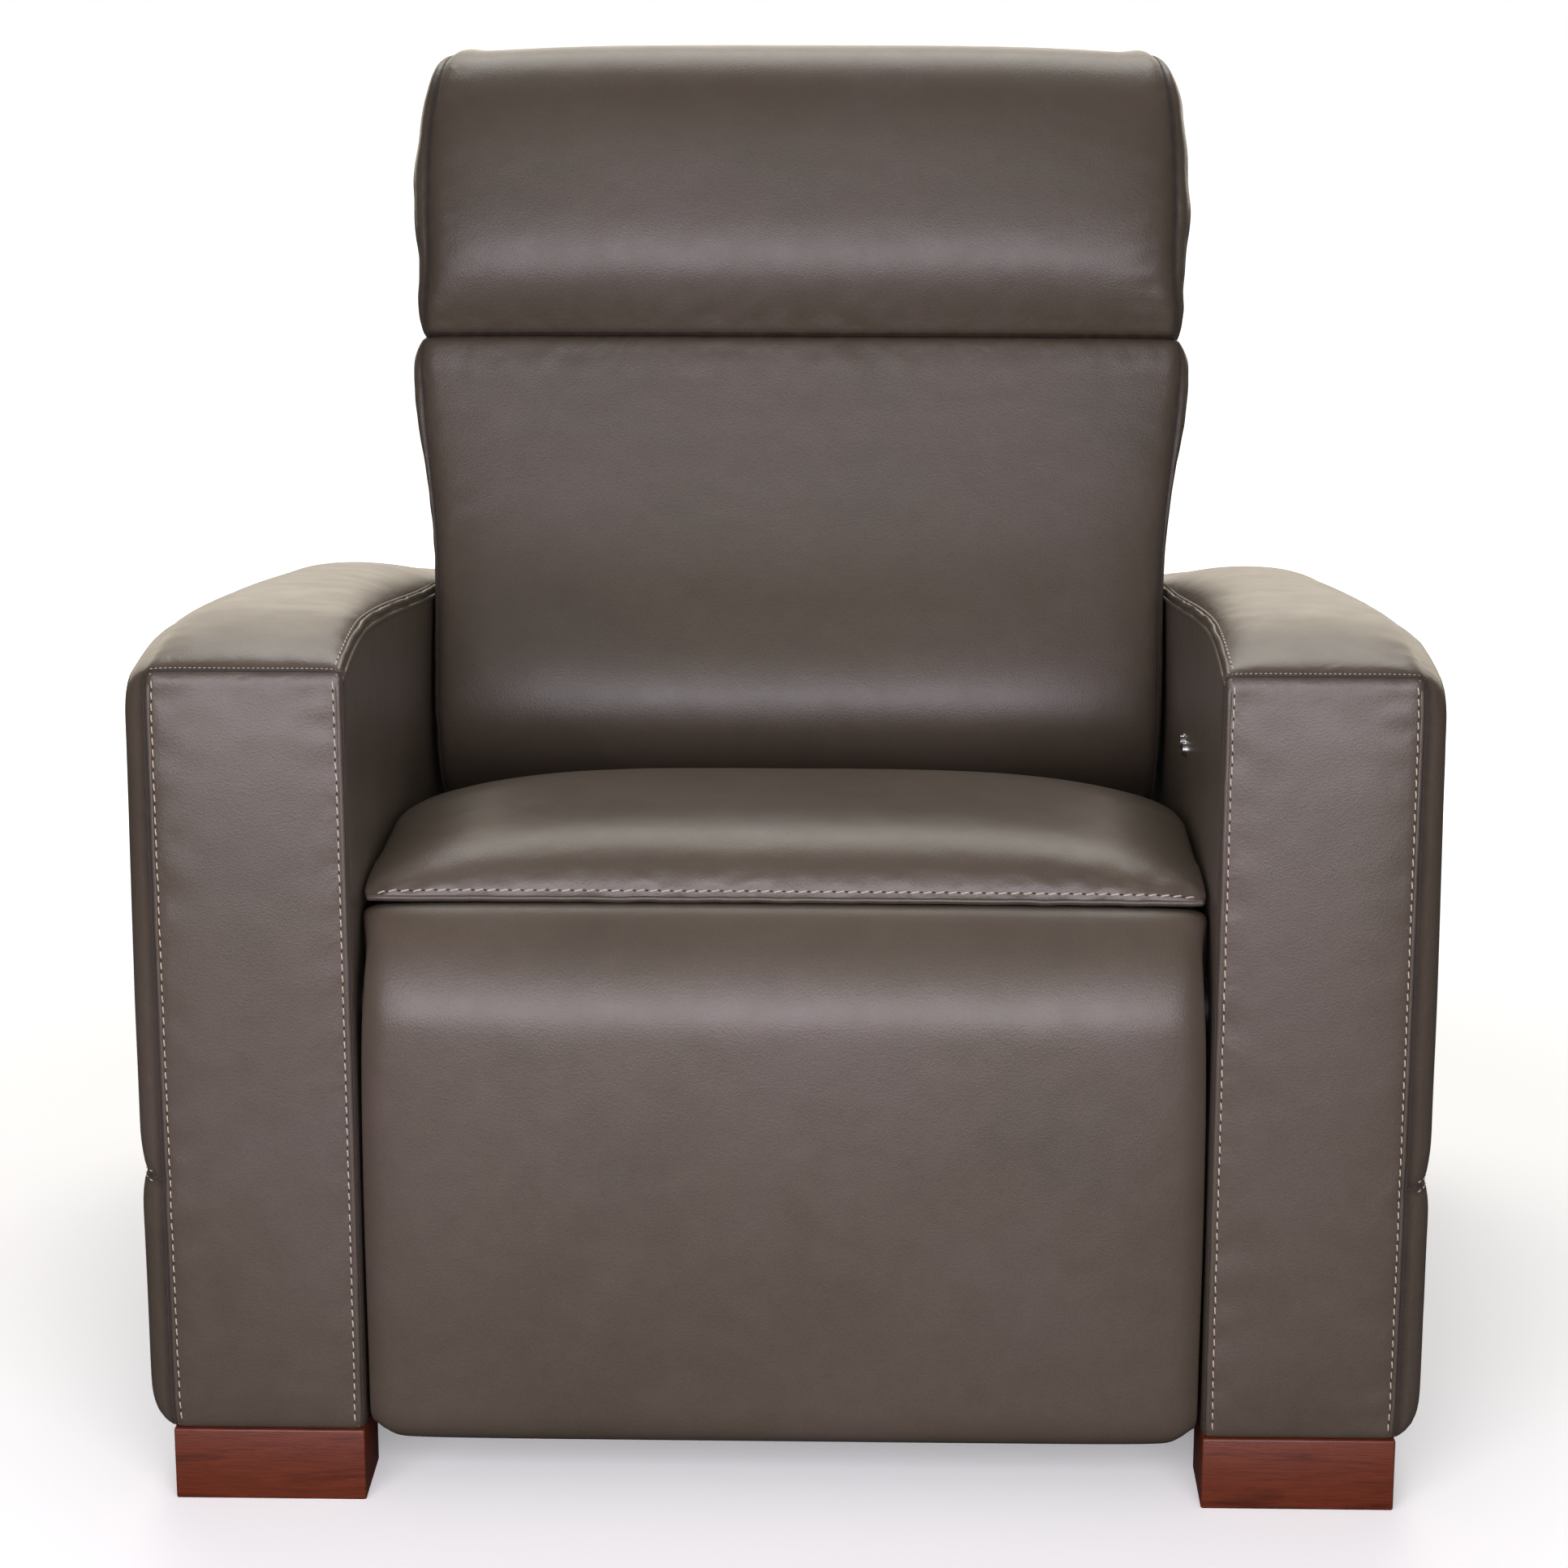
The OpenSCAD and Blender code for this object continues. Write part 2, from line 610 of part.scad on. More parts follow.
// Two push buttons in the right arm's inner side
button_out = 3.5;
bezel_out = 1;
housing_d = 30;
housing_h = 24;
housing_margin = 10;
housing_w = button_pitch + button_collar_d + housing_margin * 2;
housing_wall = 3;
housing_x = arm_in + skin + board;
button_x1 = housing_x + housing_d - housing_wall - button_travel - gap;
module button_bores(d, x1) {
    for (s = [-1, 1]) rod_x(arm_in - bezel_out - over, x1, d, switch_y + s * button_pitch / 2, button_h);
}
module switch_housing() color([0.08, 0.08, 0.08]) difference() {
    block(housing_x, housing_x + housing_d, switch_y - housing_w / 2, switch_y + housing_w / 2,
        button_h - housing_h / 2, button_h + housing_h / 2);
    button_bores(button_d + fit * 2, housing_x + housing_d - housing_wall);
}
module switch_bezel() color([0.75, 0.75, 0.77]) difference() {
    for (s = [-1, 1]) rod_x(arm_in - bezel_out, housing_x, button_collar_d, switch_y + s * button_pitch / 2,
        button_h);
    button_bores(button_d + fit * 2, housing_x + over);
}
module button(s) color([0.8, 0.8, 0.82]) rod_x(arm_in - button_out, button_x1, button_d,
    switch_y + s * button_pitch / 2, button_h);
module button_open() button(-1);
module button_close() button(1);

// Shafts and their flanged bushes
module bushes(y, z) {
    color("ivory") for (side = [-1, 1]) on_side(side) difference() {
        union() {
            rod_x(rail_in - bush_flange_t, rail_in, bush_d + bush_wall * 2, y, z);
            rod_x(rail_in, half_gap, bush_d, y, z);
        }
        rod_x(rail_in - bush_flange_t - over, half_gap + over, shaft_d + fit * 2, y, z);
    }
}
module leg_bushes() bushes(leg_y, leg_pivot_h);
module back_bushes() bushes(back_y, back_pivot_h);
shaft_end = 0.5;
module leg_shaft() color("silver") rod_x(shaft_end - half_gap, half_gap - shaft_end, shaft_d, leg_y,
    leg_pivot_h);
module back_shaft() color("silver") rod_x(shaft_end - half_gap, half_gap - shaft_end, shaft_d, back_y,
    back_pivot_h);

// Leg rest
leg_arm_x = 235;
leg_arm_w = 30;
leg_arm_t = 6;
leg_arm_short = 60;
leg_arm_len = pad_drop - leg_arm_short;
leg_board_t = 12;
leg_board_top = 38;
leg_board_margin = 20;
leg_board_bottom = pad_drop - leg_board_margin;
leg_board_inset = 32;
leg_board_half_w = half_gap - leg_board_inset;
leg_screw_d = 6;
leg_screw_edge = 30;
leg_screw_places = [leg_board_top + leg_screw_edge, leg_arm_len - leg_screw_edge];
pad_half_w = half_gap - pad_gap;
pad_bore_r = hub_d / 2 + gap * 4;

module leg_arm(side) {
    color([0.2, 0.2, 0.21]) on_side(side) difference() {
        union() {
            rod_x(leg_arm_x, leg_arm_x + leg_arm_w, hub_d, leg_y, leg_pivot_h);
            block(leg_arm_x, leg_arm_x + leg_arm_w, leg_y, leg_y + leg_arm_t, leg_pivot_h - leg_arm_len,
                leg_pivot_h);
        }
        rod_x(leg_arm_x - over, leg_arm_x + leg_arm_w + over, shaft_d, leg_y, leg_pivot_h);
        for (d = leg_screw_places) rod_y(leg_y - over, leg_y + leg_arm_t + over, leg_screw_d,
            leg_arm_x + leg_arm_w / 2, leg_pivot_h - d);
    }
}
module left_leg_arm() leg_arm(-1);
module right_leg_arm() leg_arm(1);
module leg_board() color("burlywood") difference() {
    block(-leg_board_half_w, leg_board_half_w, leg_y - leg_board_t, leg_y, leg_pivot_h - leg_board_bottom,
        leg_pivot_h - leg_board_top);
    for (side = [-1, 1]) for (d = leg_screw_places)
        rod_y(leg_y - leg_board_t - over, leg_y + over, leg_screw_d, side * (leg_arm_x + leg_arm_w / 2),
            leg_pivot_h - d);
}
module leg_screws() color("silver") for (side = [-1, 1]) for (d = leg_screw_places) {
    rod_y(leg_y - leg_board_t, leg_y + leg_arm_t, leg_screw_d, side * (leg_arm_x + leg_arm_w / 2),
        leg_pivot_h - d);
    rod_y(leg_y + leg_arm_t, leg_y + leg_arm_t + leg_screw_d / 2, leg_screw_d * 2,
        side * (leg_arm_x + leg_arm_w / 2), leg_pivot_h - d);
}
module leg_crank() crank(leg_y, leg_pivot_h, leg_crank_r, leg_open / 2);

// The pad's plain length below its pivot, as shares of the drop, its depth as shares of its thickness, and
// its width
pad_shares = [[1, 0.55, 0.975], [0.99, 0.78, 0.985], [0.965, 0.89, 0.995], [0.92, 0.955, 1],
    [0.82, 0.985, 1],
    [0.6, 1, 1], [0.35, 1, 0.997], [0.12, 1, 0.993]];
pad_roll = [0, 22.5, 45, 67.5, 90];
pad_top_share = 0.993;
pad_roll_taper = 0.01;
module leg_pad() color([0.42, 0.37, 0.34]) difference() {
    padded(concat(
        [for (p = pad_shares) [leg_y, leg_pivot_h - p[0] * pad_drop, 180, p[1] * pad_thick,
            p[2] * pad_half_w, 0]],
        [for (a = pad_roll) [leg_y - pad_bore_r * cos(a), leg_pivot_h + pad_bore_r * sin(a), 180 - a,
            pad_thick - pad_bore_r, (pad_top_share - pad_roll_taper * a / 90) * pad_half_w, 0]]));
    block(-leg_board_half_w, leg_board_half_w, leg_y - leg_board_t, leg_y + over,
        leg_pivot_h - leg_board_bottom, leg_pivot_h - leg_board_top);
    rod_x(-half_gap, half_gap, pad_bore_r * 2, leg_y, leg_pivot_h);
}

// Back, drawn upright round its pivot
cushion_rear = 17.5;
strap_t = 2;
frame_y0 = cushion_rear + strap_t;
cushion_depth = back_front + cushion_rear;
frame_y1 = 60;
frame_z0 = 95;
frame_top_gap = 13;
frame_z1 = crease_h - frame_top_gap;
stile_x0 = 270;
stile_x1 = 300;
frame_rail_h = 46;
strap_h = 40;
strap_count = 5;
bracket_t = 6;
bracket_top = 260;
back_bolt_rise = 65;
back_bolt_pitch = 40;
back_bolt_places = [for (i = [0:2]) [(frame_y0 + frame_y1) / 2,
    frame_z0 + back_bolt_rise + i * back_bolt_pitch]];
back_panel_inset = 2;
back_panel_half_w = back_low_half_w - back_panel_inset;
back_panel_t = 6;

module back_bracket(side) {
    color([0.2, 0.2, 0.21]) at_back() on_side(side) difference() {
        union() {
            rod_x(stile_x1 - bracket_t, stile_x1 + bracket_t, hub_d, 0, 0);
            along_x(stile_x1, bracket_t) {
                strip(-bolt_d, frame_y1 / 2, 0, frame_z0);
                strip(frame_y0, frame_y1, frame_z0 - frame_rail_h / 2, bracket_top);
            }
        }
        rod_x(stile_x1 - bracket_t - over, stile_x1 + bracket_t + over, shaft_d, 0, 0);
        for (p = back_bolt_places) rod_x(stile_x0, stile_x1 + bracket_t + over, bolt_d, p[0], p[1]);
    }
}
module left_back_bracket() back_bracket(-1);
module right_back_bracket() back_bracket(1);

module back_stiles() color("burlywood") at_back() for (side = [-1, 1]) on_side(side) difference() {
    block(stile_x0, stile_x1, frame_y0, frame_y1, frame_z0, frame_z1);
    for (p = back_bolt_places) rod_x(stile_x0 - over, stile_x1 + over, bolt_d, p[0], p[1]);
}
module back_rails() color("burlywood") at_back() for (z = [frame_z0, frame_z1 - frame_rail_h])
    block(-stile_x0, stile_x0, frame_y0, frame_y1, z, z + frame_rail_h);
module back_bolts() color("silver") at_back() for (side = [-1, 1]) for (p = back_bolt_places) on_side(side) {
    rod_x(stile_x0, stile_x1 + bracket_t, bolt_d, p[0], p[1]);
    rod_x(stile_x0 - bolt_head_h, stile_x0, bolt_head_d, p[0], p[1]);
}
module back_webbing() color("darkkhaki") at_back() for (i = [0:strap_count - 1])
    let (z = frame_z0 + (frame_z1 - frame_z0 - strap_h) * i / (strap_count - 1))
        block(-stile_x1, stile_x1, cushion_rear, frame_y0, z, z + strap_h);
module back_crank() crank(back_y, back_pivot_h, back_crank_r, recline / 2);

// Depths of the back cushion's foot and body as shares of its depth, with half widths
back_low_z = 110;
arm_pass_z = 386;
back_foot_shares = [[0, 0.8, 0.955], [0.015, 0.9, 0.975], [0.04, 0.965, 0.99], [0.1, 1, 1],
    [0.24, 0.995, 1], [0.45, 0.985, 1]];
// Height and width of the cushion above the arms, in shares of the height from the arms to the crease
back_body_share = 0.985;
back_body_shares = [[0, 0], [0.06, 0.55], [0.3, 0.8], [0.55, 0.95]];
// Round of a cushion's edge along the crease, in degrees from its start
crease_turns = [0, 30, 55, 75, 90];
crease_draw = 13;
back_top_z = crease_h - gap / 2;
function crease_station(dir, edge_z, a, half_w) = [cushion_rear,
    edge_z + dir * (crease_r - crease_r * sin(a)), 180,
    cushion_depth - crease_r + crease_r * cos(a), half_w - crease_draw * (1 - cos(a)), 0];
back_stations = concat(
    [for (p = back_foot_shares) [cushion_rear, back_low_z + p[0] * (crease_h - back_low_z), 180,
        p[1] * cushion_depth, p[2] * back_low_half_w, 0]],
    [for (p = back_body_shares) [cushion_rear, arm_pass_z + p[0] * (crease_h - crease_r - arm_pass_z), 180,
        back_body_share * cushion_depth,
        back_low_half_w + p[1] * (back_half_w - back_low_half_w), 0]],
    [for (a = crease_turns) crease_station(-1, back_top_z, a, back_half_w)]);

// Headrest hinges: an eye on a cranked plate from the back frame, and a plate with the same eye from the
// headrest's board. The lower plate carries the pin
hinge_inset = 27;
hinge_y = hinge_inset - back_front;
hinge_z = crease_h;
hinge_t = 4;
hinge_gap = 0.3;
hinge_x = stile_x0 - hinge_t * 2 - hinge_gap;
hinge_eye_d = 18;
hinge_pin_d = 8;
hinge_bar_h = 20;
hinge_drop = 8;
hinge_foot_h = 30;
hinge_foot_drop = 99;
hinge_foot_z = crease_h - hinge_foot_drop;
head_board_y0 = 25;
head_board_t = 15;
head_board_rise = 27;
head_board_drop = 40;
head_board_z0 = crease_h + head_board_rise;
head_board_z1 = head_top - head_board_drop;
head_arm_h = 107;
head_half_w = 342;
head_seat_z = crease_h + gap / 2;

module eye_outline(m) {
    translate([hinge_y, hinge_z]) circle(d = hinge_eye_d + m * 2);
}
module lower_plate_outline(m) {
    z1 = hinge_z - hinge_drop;
    z0 = z1 - hinge_bar_h;
    eye_outline(m);
    strip(hinge_y - hinge_eye_d / 2 - m, hinge_y + hinge_eye_d / 2 + m, z0 - m, hinge_z);
    strip(hinge_y, cushion_rear - strap_t + m, z0 - m, z1 + m);
    strip(cushion_rear - strap_t - hinge_bar_h - m, cushion_rear - strap_t + m, hinge_foot_z - m, z1);
    strip(cushion_rear - strap_t - hinge_bar_h - m, frame_y1, hinge_foot_z - m,
        hinge_foot_z + hinge_foot_h + m);
}
module upper_plate_outline(m) {
    z0 = hinge_z + hinge_drop;
    z1 = z0 + hinge_bar_h;
    eye_outline(m);
    strip(hinge_y - hinge_eye_d / 2 - m, hinge_y + hinge_eye_d / 2 + m, hinge_z, z1 + m);
    strip(hinge_y, head_board_y0 + head_board_t, z0 - m, z1 + m);
    strip(head_board_y0, head_board_y0 + head_board_t, z0, hinge_z + head_arm_h);
}
module head_hinge(side) {
    color([0.2, 0.2, 0.21]) at_back() on_side(side) {
        along_x(stile_x0 - hinge_t, hinge_t) lower_plate_outline(0);
        rod_x(hinge_x - hinge_t / 2, stile_x0 - hinge_t, hinge_pin_d, hinge_y, hinge_z);
    }
}
module left_head_hinge() head_hinge(-1);
module right_head_hinge() head_hinge(1);
module head_arm(side) {
    color([0.2, 0.2, 0.21]) at_back() on_side(side) difference() {
        along_x(hinge_x, hinge_t) upper_plate_outline(0);
        rod_x(hinge_x - over, hinge_x + hinge_t + over, hinge_pin_d + fit * 2, hinge_y, hinge_z);
    }
}
module left_head_arm() head_arm(-1);
module right_head_arm() head_arm(1);

// Pockets in the cushions that clear both plates of each hinge
module hinge_pockets() {
    x0 = hinge_x - hinge_t / 2 - gap;
    for (side = [-1, 1]) on_side(side) along_x(x0, stile_x0 + gap - x0) children();
}
module back_cushion() color([0.42, 0.37, 0.34]) at_back() difference() {
    padded(back_stations);
    hinge_pockets() lower_plate_outline(gap);
}
module back_panel() color([0.42, 0.37, 0.34]) at_back() difference() {
    block(-back_panel_half_w, back_panel_half_w, cushion_rear, back_rear, frame_z0, crease_h - gap);
    block(-back_panel_half_w + back_panel_t, back_panel_half_w - back_panel_t, cushion_rear - over,
        frame_y1, frame_z0 - over, frame_z1);
}

// Headrest: widths and depths up to its rounded top, in shares of the height over the crease's round
head_shares = [[0.12, 1, 1], [0.35, 1, 1], [0.6, 0.985, 0.985], [0.78, 0.94, 0.955], [0.88, 0.87, 0.93],
    [0.95, 0.76, 0.905], [0.985, 0.62, 0.88], [1, 0.42, 0.86]];
head_body_z = head_seat_z + crease_r;
head_stations = concat(
    [for (i = [len(crease_turns) - 1:-1:0]) crease_station(1, head_seat_z, crease_turns[i], head_half_w)],
    [for (p = head_shares) [cushion_rear, head_body_z + p[0] * (head_top - head_body_z), 180,
        p[1] * cushion_depth, p[2] * head_half_w, 0]]);
module headrest() color([0.42, 0.37, 0.34]) at_back() difference() {
    padded(head_stations);
    hinge_pockets() upper_plate_outline(gap);
}
module head_board() color("burlywood") at_back()
    block(-hinge_x, hinge_x, head_board_y0, head_board_y0 + head_board_t, head_board_z0, head_board_z1);
head_panel_half_w = 300;
head_panel_r = 30;
module head_panel() color([0.42, 0.37, 0.34]) at_back() difference() {
    translate([0, back_rear, 0]) rotate([90, 0, 0]) linear_extrude(back_rear - cushion_rear)
        polygon(round_box(-head_panel_half_w, head_panel_half_w, head_seat_z, head_panel_top,
            head_panel_r));
    block(-hinge_x - hinge_t, hinge_x + hinge_t, cushion_rear - over, head_board_y0 + head_board_t,
        head_seat_z - over, head_board_z1);
}

left_arm_frame();
right_arm_frame();
left_arm_pad();
right_arm_pad();
front_left_foot();
front_right_foot();
rear_left_foot();
rear_right_foot();
foot_bolts();
left_side_rail();
right_side_rail();
rail_bolts();
front_cross_rail();
rear_cross_rail();
seat_side_boards();
seat_front_board();
seat_rear_board();
seat_springs();
seat_cushion();
leg_gearbox();
leg_motor();
leg_sleeve();
leg_rod();
recline_gearbox();
recline_motor();
recline_sleeve();
recline_rod();
rear_apron();
control_box();
power_inlet();
switch_housing();
switch_bezel();
button_open();
button_close();
leg_bushes();
leg_shaft();
left_leg_arm();
right_leg_arm();
leg_board();
leg_screws();
leg_crank();
leg_pad();
back_bushes();
back_shaft();
left_back_bracket();
right_back_bracket();
back_bolts();
back_stiles();
back_rails();
back_webbing();
back_crank();
back_cushion();
back_panel();
left_head_hinge();
right_head_hinge();
left_head_arm();
right_head_arm();
head_board();
headrest();
head_panel();
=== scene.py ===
"""Dressed model of a powered cinema recliner seat: leather, seams, wooden feet, studio and camera.

Sizes in the classes are in millimetres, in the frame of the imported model: +x to the seat's left arm, -y to the
front, +z up. Finished meshes are in metres.
"""
import logging
import math
from dataclasses import dataclass, field
from enum import Enum
from itertools import product
from typing import ClassVar, Sequence

import bpy
import numpy as np
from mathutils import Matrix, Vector
from mathutils.bvhtree import BVHTree


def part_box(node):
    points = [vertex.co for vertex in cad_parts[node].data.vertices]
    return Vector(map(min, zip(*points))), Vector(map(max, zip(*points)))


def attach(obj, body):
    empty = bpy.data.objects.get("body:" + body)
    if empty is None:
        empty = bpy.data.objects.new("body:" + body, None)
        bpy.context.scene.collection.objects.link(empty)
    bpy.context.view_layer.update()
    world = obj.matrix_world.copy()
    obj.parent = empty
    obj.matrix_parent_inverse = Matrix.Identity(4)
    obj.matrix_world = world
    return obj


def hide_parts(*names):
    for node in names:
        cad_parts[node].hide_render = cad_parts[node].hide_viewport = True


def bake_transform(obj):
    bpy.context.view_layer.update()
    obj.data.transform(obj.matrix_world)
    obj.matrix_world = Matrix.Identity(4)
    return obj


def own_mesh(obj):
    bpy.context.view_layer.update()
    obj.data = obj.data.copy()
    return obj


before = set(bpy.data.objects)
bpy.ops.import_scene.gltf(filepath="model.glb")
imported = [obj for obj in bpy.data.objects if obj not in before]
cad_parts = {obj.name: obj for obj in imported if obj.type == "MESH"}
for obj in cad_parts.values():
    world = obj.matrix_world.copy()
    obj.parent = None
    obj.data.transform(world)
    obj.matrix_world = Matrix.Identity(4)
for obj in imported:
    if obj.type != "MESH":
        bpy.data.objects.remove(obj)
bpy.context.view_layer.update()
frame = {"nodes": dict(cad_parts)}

log = logging.getLogger("recliner")

Array = np.ndarray
Piece = bpy.types.Object
Socket = bpy.types.NodeSocket
Row = list[tuple[Vector, Vector, Vector]]
SeamTable = tuple[tuple, ...]
HeldTable = tuple[tuple[int, int], ...]


def metres(*values: float) -> Vector:
    """Turns millimetres into a point in metres."""
    return Vector(values) / 1000.0


def smooth(t: Array) -> Array:
    """Eases a share from 0 to 1 with flat ends."""
    t = np.clip(t, 0.0, 1.0)
    return t * t * (3.0 - 2.0 * t)


def pillow(t: Array, power: float = 4.0, root: float = 0.6) -> Array:
    """Gives the swell of a stuffed face: 1 in the middle and 0 at both seams.

    Args:
        t: Place across the face, from -1 to 1.
        power: How flat the middle is.
        root: How steeply the swell leaves the seam.

    Returns:
        The swell's share at each place.
    """
    return (1.0 - np.clip(np.abs(t), 0.0, 1.0) ** power) ** root


def rounding(distance: Array, radius: float) -> Array:
    """Gives a quarter round's share of its full height at a distance from its edge."""
    s = 1.0 - np.clip(distance / radius, 0.0, 1.0)
    return np.sqrt(np.clip(1.0 - s * s, 0.0, 1.0))


def curve(places: Sequence[float], values: Sequence[float], at: Array) -> Array:
    """Reads a smooth curve through given values.

    Args:
        places: Rising places of the known values.
        values: The known values.
        at: Places to read.

    Returns:
        The curve's values, held level past both ends.
    """
    x, y = np.asarray(places, float), np.asarray(values, float)
    slope = np.zeros_like(y)
    step = np.diff(x)
    rise = np.diff(y) / step
    slope[1:-1] = (rise[:-1] * step[1:] + rise[1:] * step[:-1]) / (step[1:] + step[:-1])
    slope[0], slope[-1] = rise[0], rise[-1]
    a = np.clip(at, x[0], x[-1])
    i = np.clip(np.searchsorted(x, a, side="right") - 1, 0, len(step) - 1)
    h = step[i]
    t = (a - x[i]) / h
    return ((2 * t**3 - 3 * t**2 + 1) * y[i] + (t**3 - 2 * t**2 + t) * h * slope[i]
            + (3 * t**2 - 2 * t**3) * y[i + 1] + (t**3 - t**2) * h * slope[i + 1])


@dataclass(frozen=True)
class Carriers:
    """Places of the solids that carry the leather."""

    arm_front: float = -431.892
    arm_rear: float = 408.108
    arm_low: float = 58.0
    arm_inner: float = 322.0
    arm_seam: float = 470.0
    leg_pivot: tuple[float, float] = (-361.892, 383.0)
    back_pivot: tuple[float, float] = (158.108, 300.0)
    lean: float = math.radians(16.0)
    front_rise: float = 659.0
    arch_rise: float = 11.0
    arch_crest: float = 120.0
    arch_fall: float = 87.0
    arch_power: float = 1.28

    def arch(self, y: Array) -> Array:
        """Gives the height of an arm's top at each depth."""
        s = y - self.arm_front - self.arch_crest
        crest = self.front_rise + self.arch_rise
        length = self.arm_rear - self.arm_front - self.arch_crest
        rise = crest - self.arch_rise * (s / self.arch_crest) ** 2
        fall = crest - self.arch_fall * (np.clip(s, 0.0, None) / length) ** self.arch_power
        return np.where(s < 0.0, rise, fall)

    def at_back(self, points: Array) -> Array:
        """Carries points of the leaning back into the row frame.

        Args:
            points: Rows of x, depth and height along the leaning back.

        Returns:
            The same points in the row frame.
        """
        c, s = math.cos(self.lean), math.sin(self.lean)
        y = self.back_pivot[0] + points[:, 1] * c + points[:, 2] * s
        z = self.back_pivot[1] - points[:, 1] * s + points[:, 2] * c
        return np.column_stack([points[:, 0], y, z])


CARRY = Carriers()


class Nodes:
    """Adds and joins the nodes of one material or world."""

    def __init__(self, tree: bpy.types.NodeTree) -> None:
        """Empties the tree."""
        self.tree = tree
        tree.nodes.clear()

    def add(self, kind: str, out: int | str = 0, inputs: dict[int | str, object] | None = None,
            **settings: object) -> Socket:
        """Adds a node.

        Args:
            kind: The node's type, without the first part that all of them share.
            out: Name or number of the result to give.
            inputs: Numbers, colours of three parts or sockets, by the inputs' names or numbers.
            **settings: The node's own settings.

        Returns:
            The result.
        """
        node = self.tree.nodes.new("ShaderNode" + kind)
        for name, value in settings.items():
            setattr(node, name, value)
        for name, item in (inputs or {}).items():
            socket = node.inputs[name]
            if isinstance(item, Socket):
                self.tree.links.new(item, socket)
            elif item is not None:
                socket.default_value = (*item, 1.0) if socket.type == "RGBA" else item
        return node.outputs[out]

    def close(self, kind: str, surface: Socket) -> None:
        """Joins the surface to a new output node of the material or world."""
        self.tree.links.new(surface, self.tree.nodes.new("ShaderNodeOutput" + kind).inputs["Surface"])

    def value(self, kind: str, a: object, b: object) -> Socket:
        """Reckons with two numbers or sockets."""
        return self.add("Math", 0, {0: a, 1: b}, operation=kind)

    def blend(self, kind: str, fac: object, a: object, b: object) -> Socket:
        """Mixes two colours by a share of the second."""
        return self.add("Mix", 2, {0: fac, 6: a, 7: b}, data_type="RGBA", blend_type=kind)


class Surface(Nodes):
    """Nodes of one material, around its shader."""

    def __init__(self, name: str) -> None:
        """Starts a material of that name."""
        self.material = bpy.data.materials.new(name)
        self.material.use_nodes = True
        super().__init__(self.material.node_tree)
        surface = self.add("BsdfPrincipled", "BSDF")
        self.shader = surface.node
        self.close("Material", surface)
        self.place = self.add("TexCoord", "Object")

    def stretch(self, scale: Sequence[float]) -> Socket:
        """Gives the object's coordinates stretched."""
        return self.add("Mapping", "Vector", {"Scale": scale, "Vector": self.place})

    def noise(self, scale: float, detail: float = 2.0, rough: float = 0.5,
              at: Socket | None = None, distortion: float = 0.0) -> Socket:
        """Adds a noise and gives its value."""
        return self.add("TexNoise", "Fac", {"Scale": scale, "Detail": detail, "Roughness": rough,
                                            "Distortion": distortion, "Vector": at or self.place})

    def ramp(self, fac: Socket, stops: Sequence[tuple[float, Sequence[float]]]) -> Socket:
        """Turns a value into a colour.

        Args:
            fac: The value.
            stops: Pairs of a place and a colour of three parts.

        Returns:
            The colour.
        """
        colour = self.add("ValToRGB", "Color", {"Fac": fac})
        marks = colour.node.color_ramp.elements
        while len(marks) < len(stops):
            marks.new(0.5)
        for mark, (place, shade) in zip(marks, stops):
            mark.position = place
            mark.color = (*shade, 1.0)
        return colour

    def bump(self, height: Socket, distance: float, strength: float,
             below: Socket | None = None) -> Socket:
        """Adds a bump on top of another and gives its normal."""
        return self.add("Bump", "Normal", {"Distance": distance, "Strength": strength, "Height": height,
                                           "Normal": below})

    def mark(self, name: str) -> Socket:
        """Reads a value painted on the mesh's points."""
        return self.add("Attribute", "Fac", attribute_name=name)

    def set(self, **values: float) -> None:
        """Sets plain numbers on the shader's own sockets, with spaces written as underscores."""
        for name, value in values.items():
            self.shader.inputs[name.replace("_", " ")].default_value = value

    def into(self, name: str, socket: Socket) -> None:
        """Joins a result to one of the shader's sockets."""
        self.tree.links.new(socket, self.shader.inputs[name])

    def rough(self, value: Socket, spread: float, middle: float) -> None:
        """Sets the roughness to a middle and a noise's spread around it."""
        self.into("Roughness", self.value("ADD", self.value("MULTIPLY", value, spread), middle - spread / 2.0))


def tone(red: int, green: int, blue: int) -> tuple[float, float, float]:
    """Turns a screen colour of 0 to 255 into the linear colour that a shader takes."""
    def part(c: int) -> float:
        """Turns one part."""
        s = c / 255.0
        return s / 12.92 if s <= 0.04045 else ((s + 0.055) / 1.055) ** 2.4
    return part(red), part(green), part(blue)


def darker(colour: Sequence[float], share: float) -> tuple[float, float, float]:
    """Scales a colour."""
    return colour[0] * share, colour[1] * share, colour[2] * share


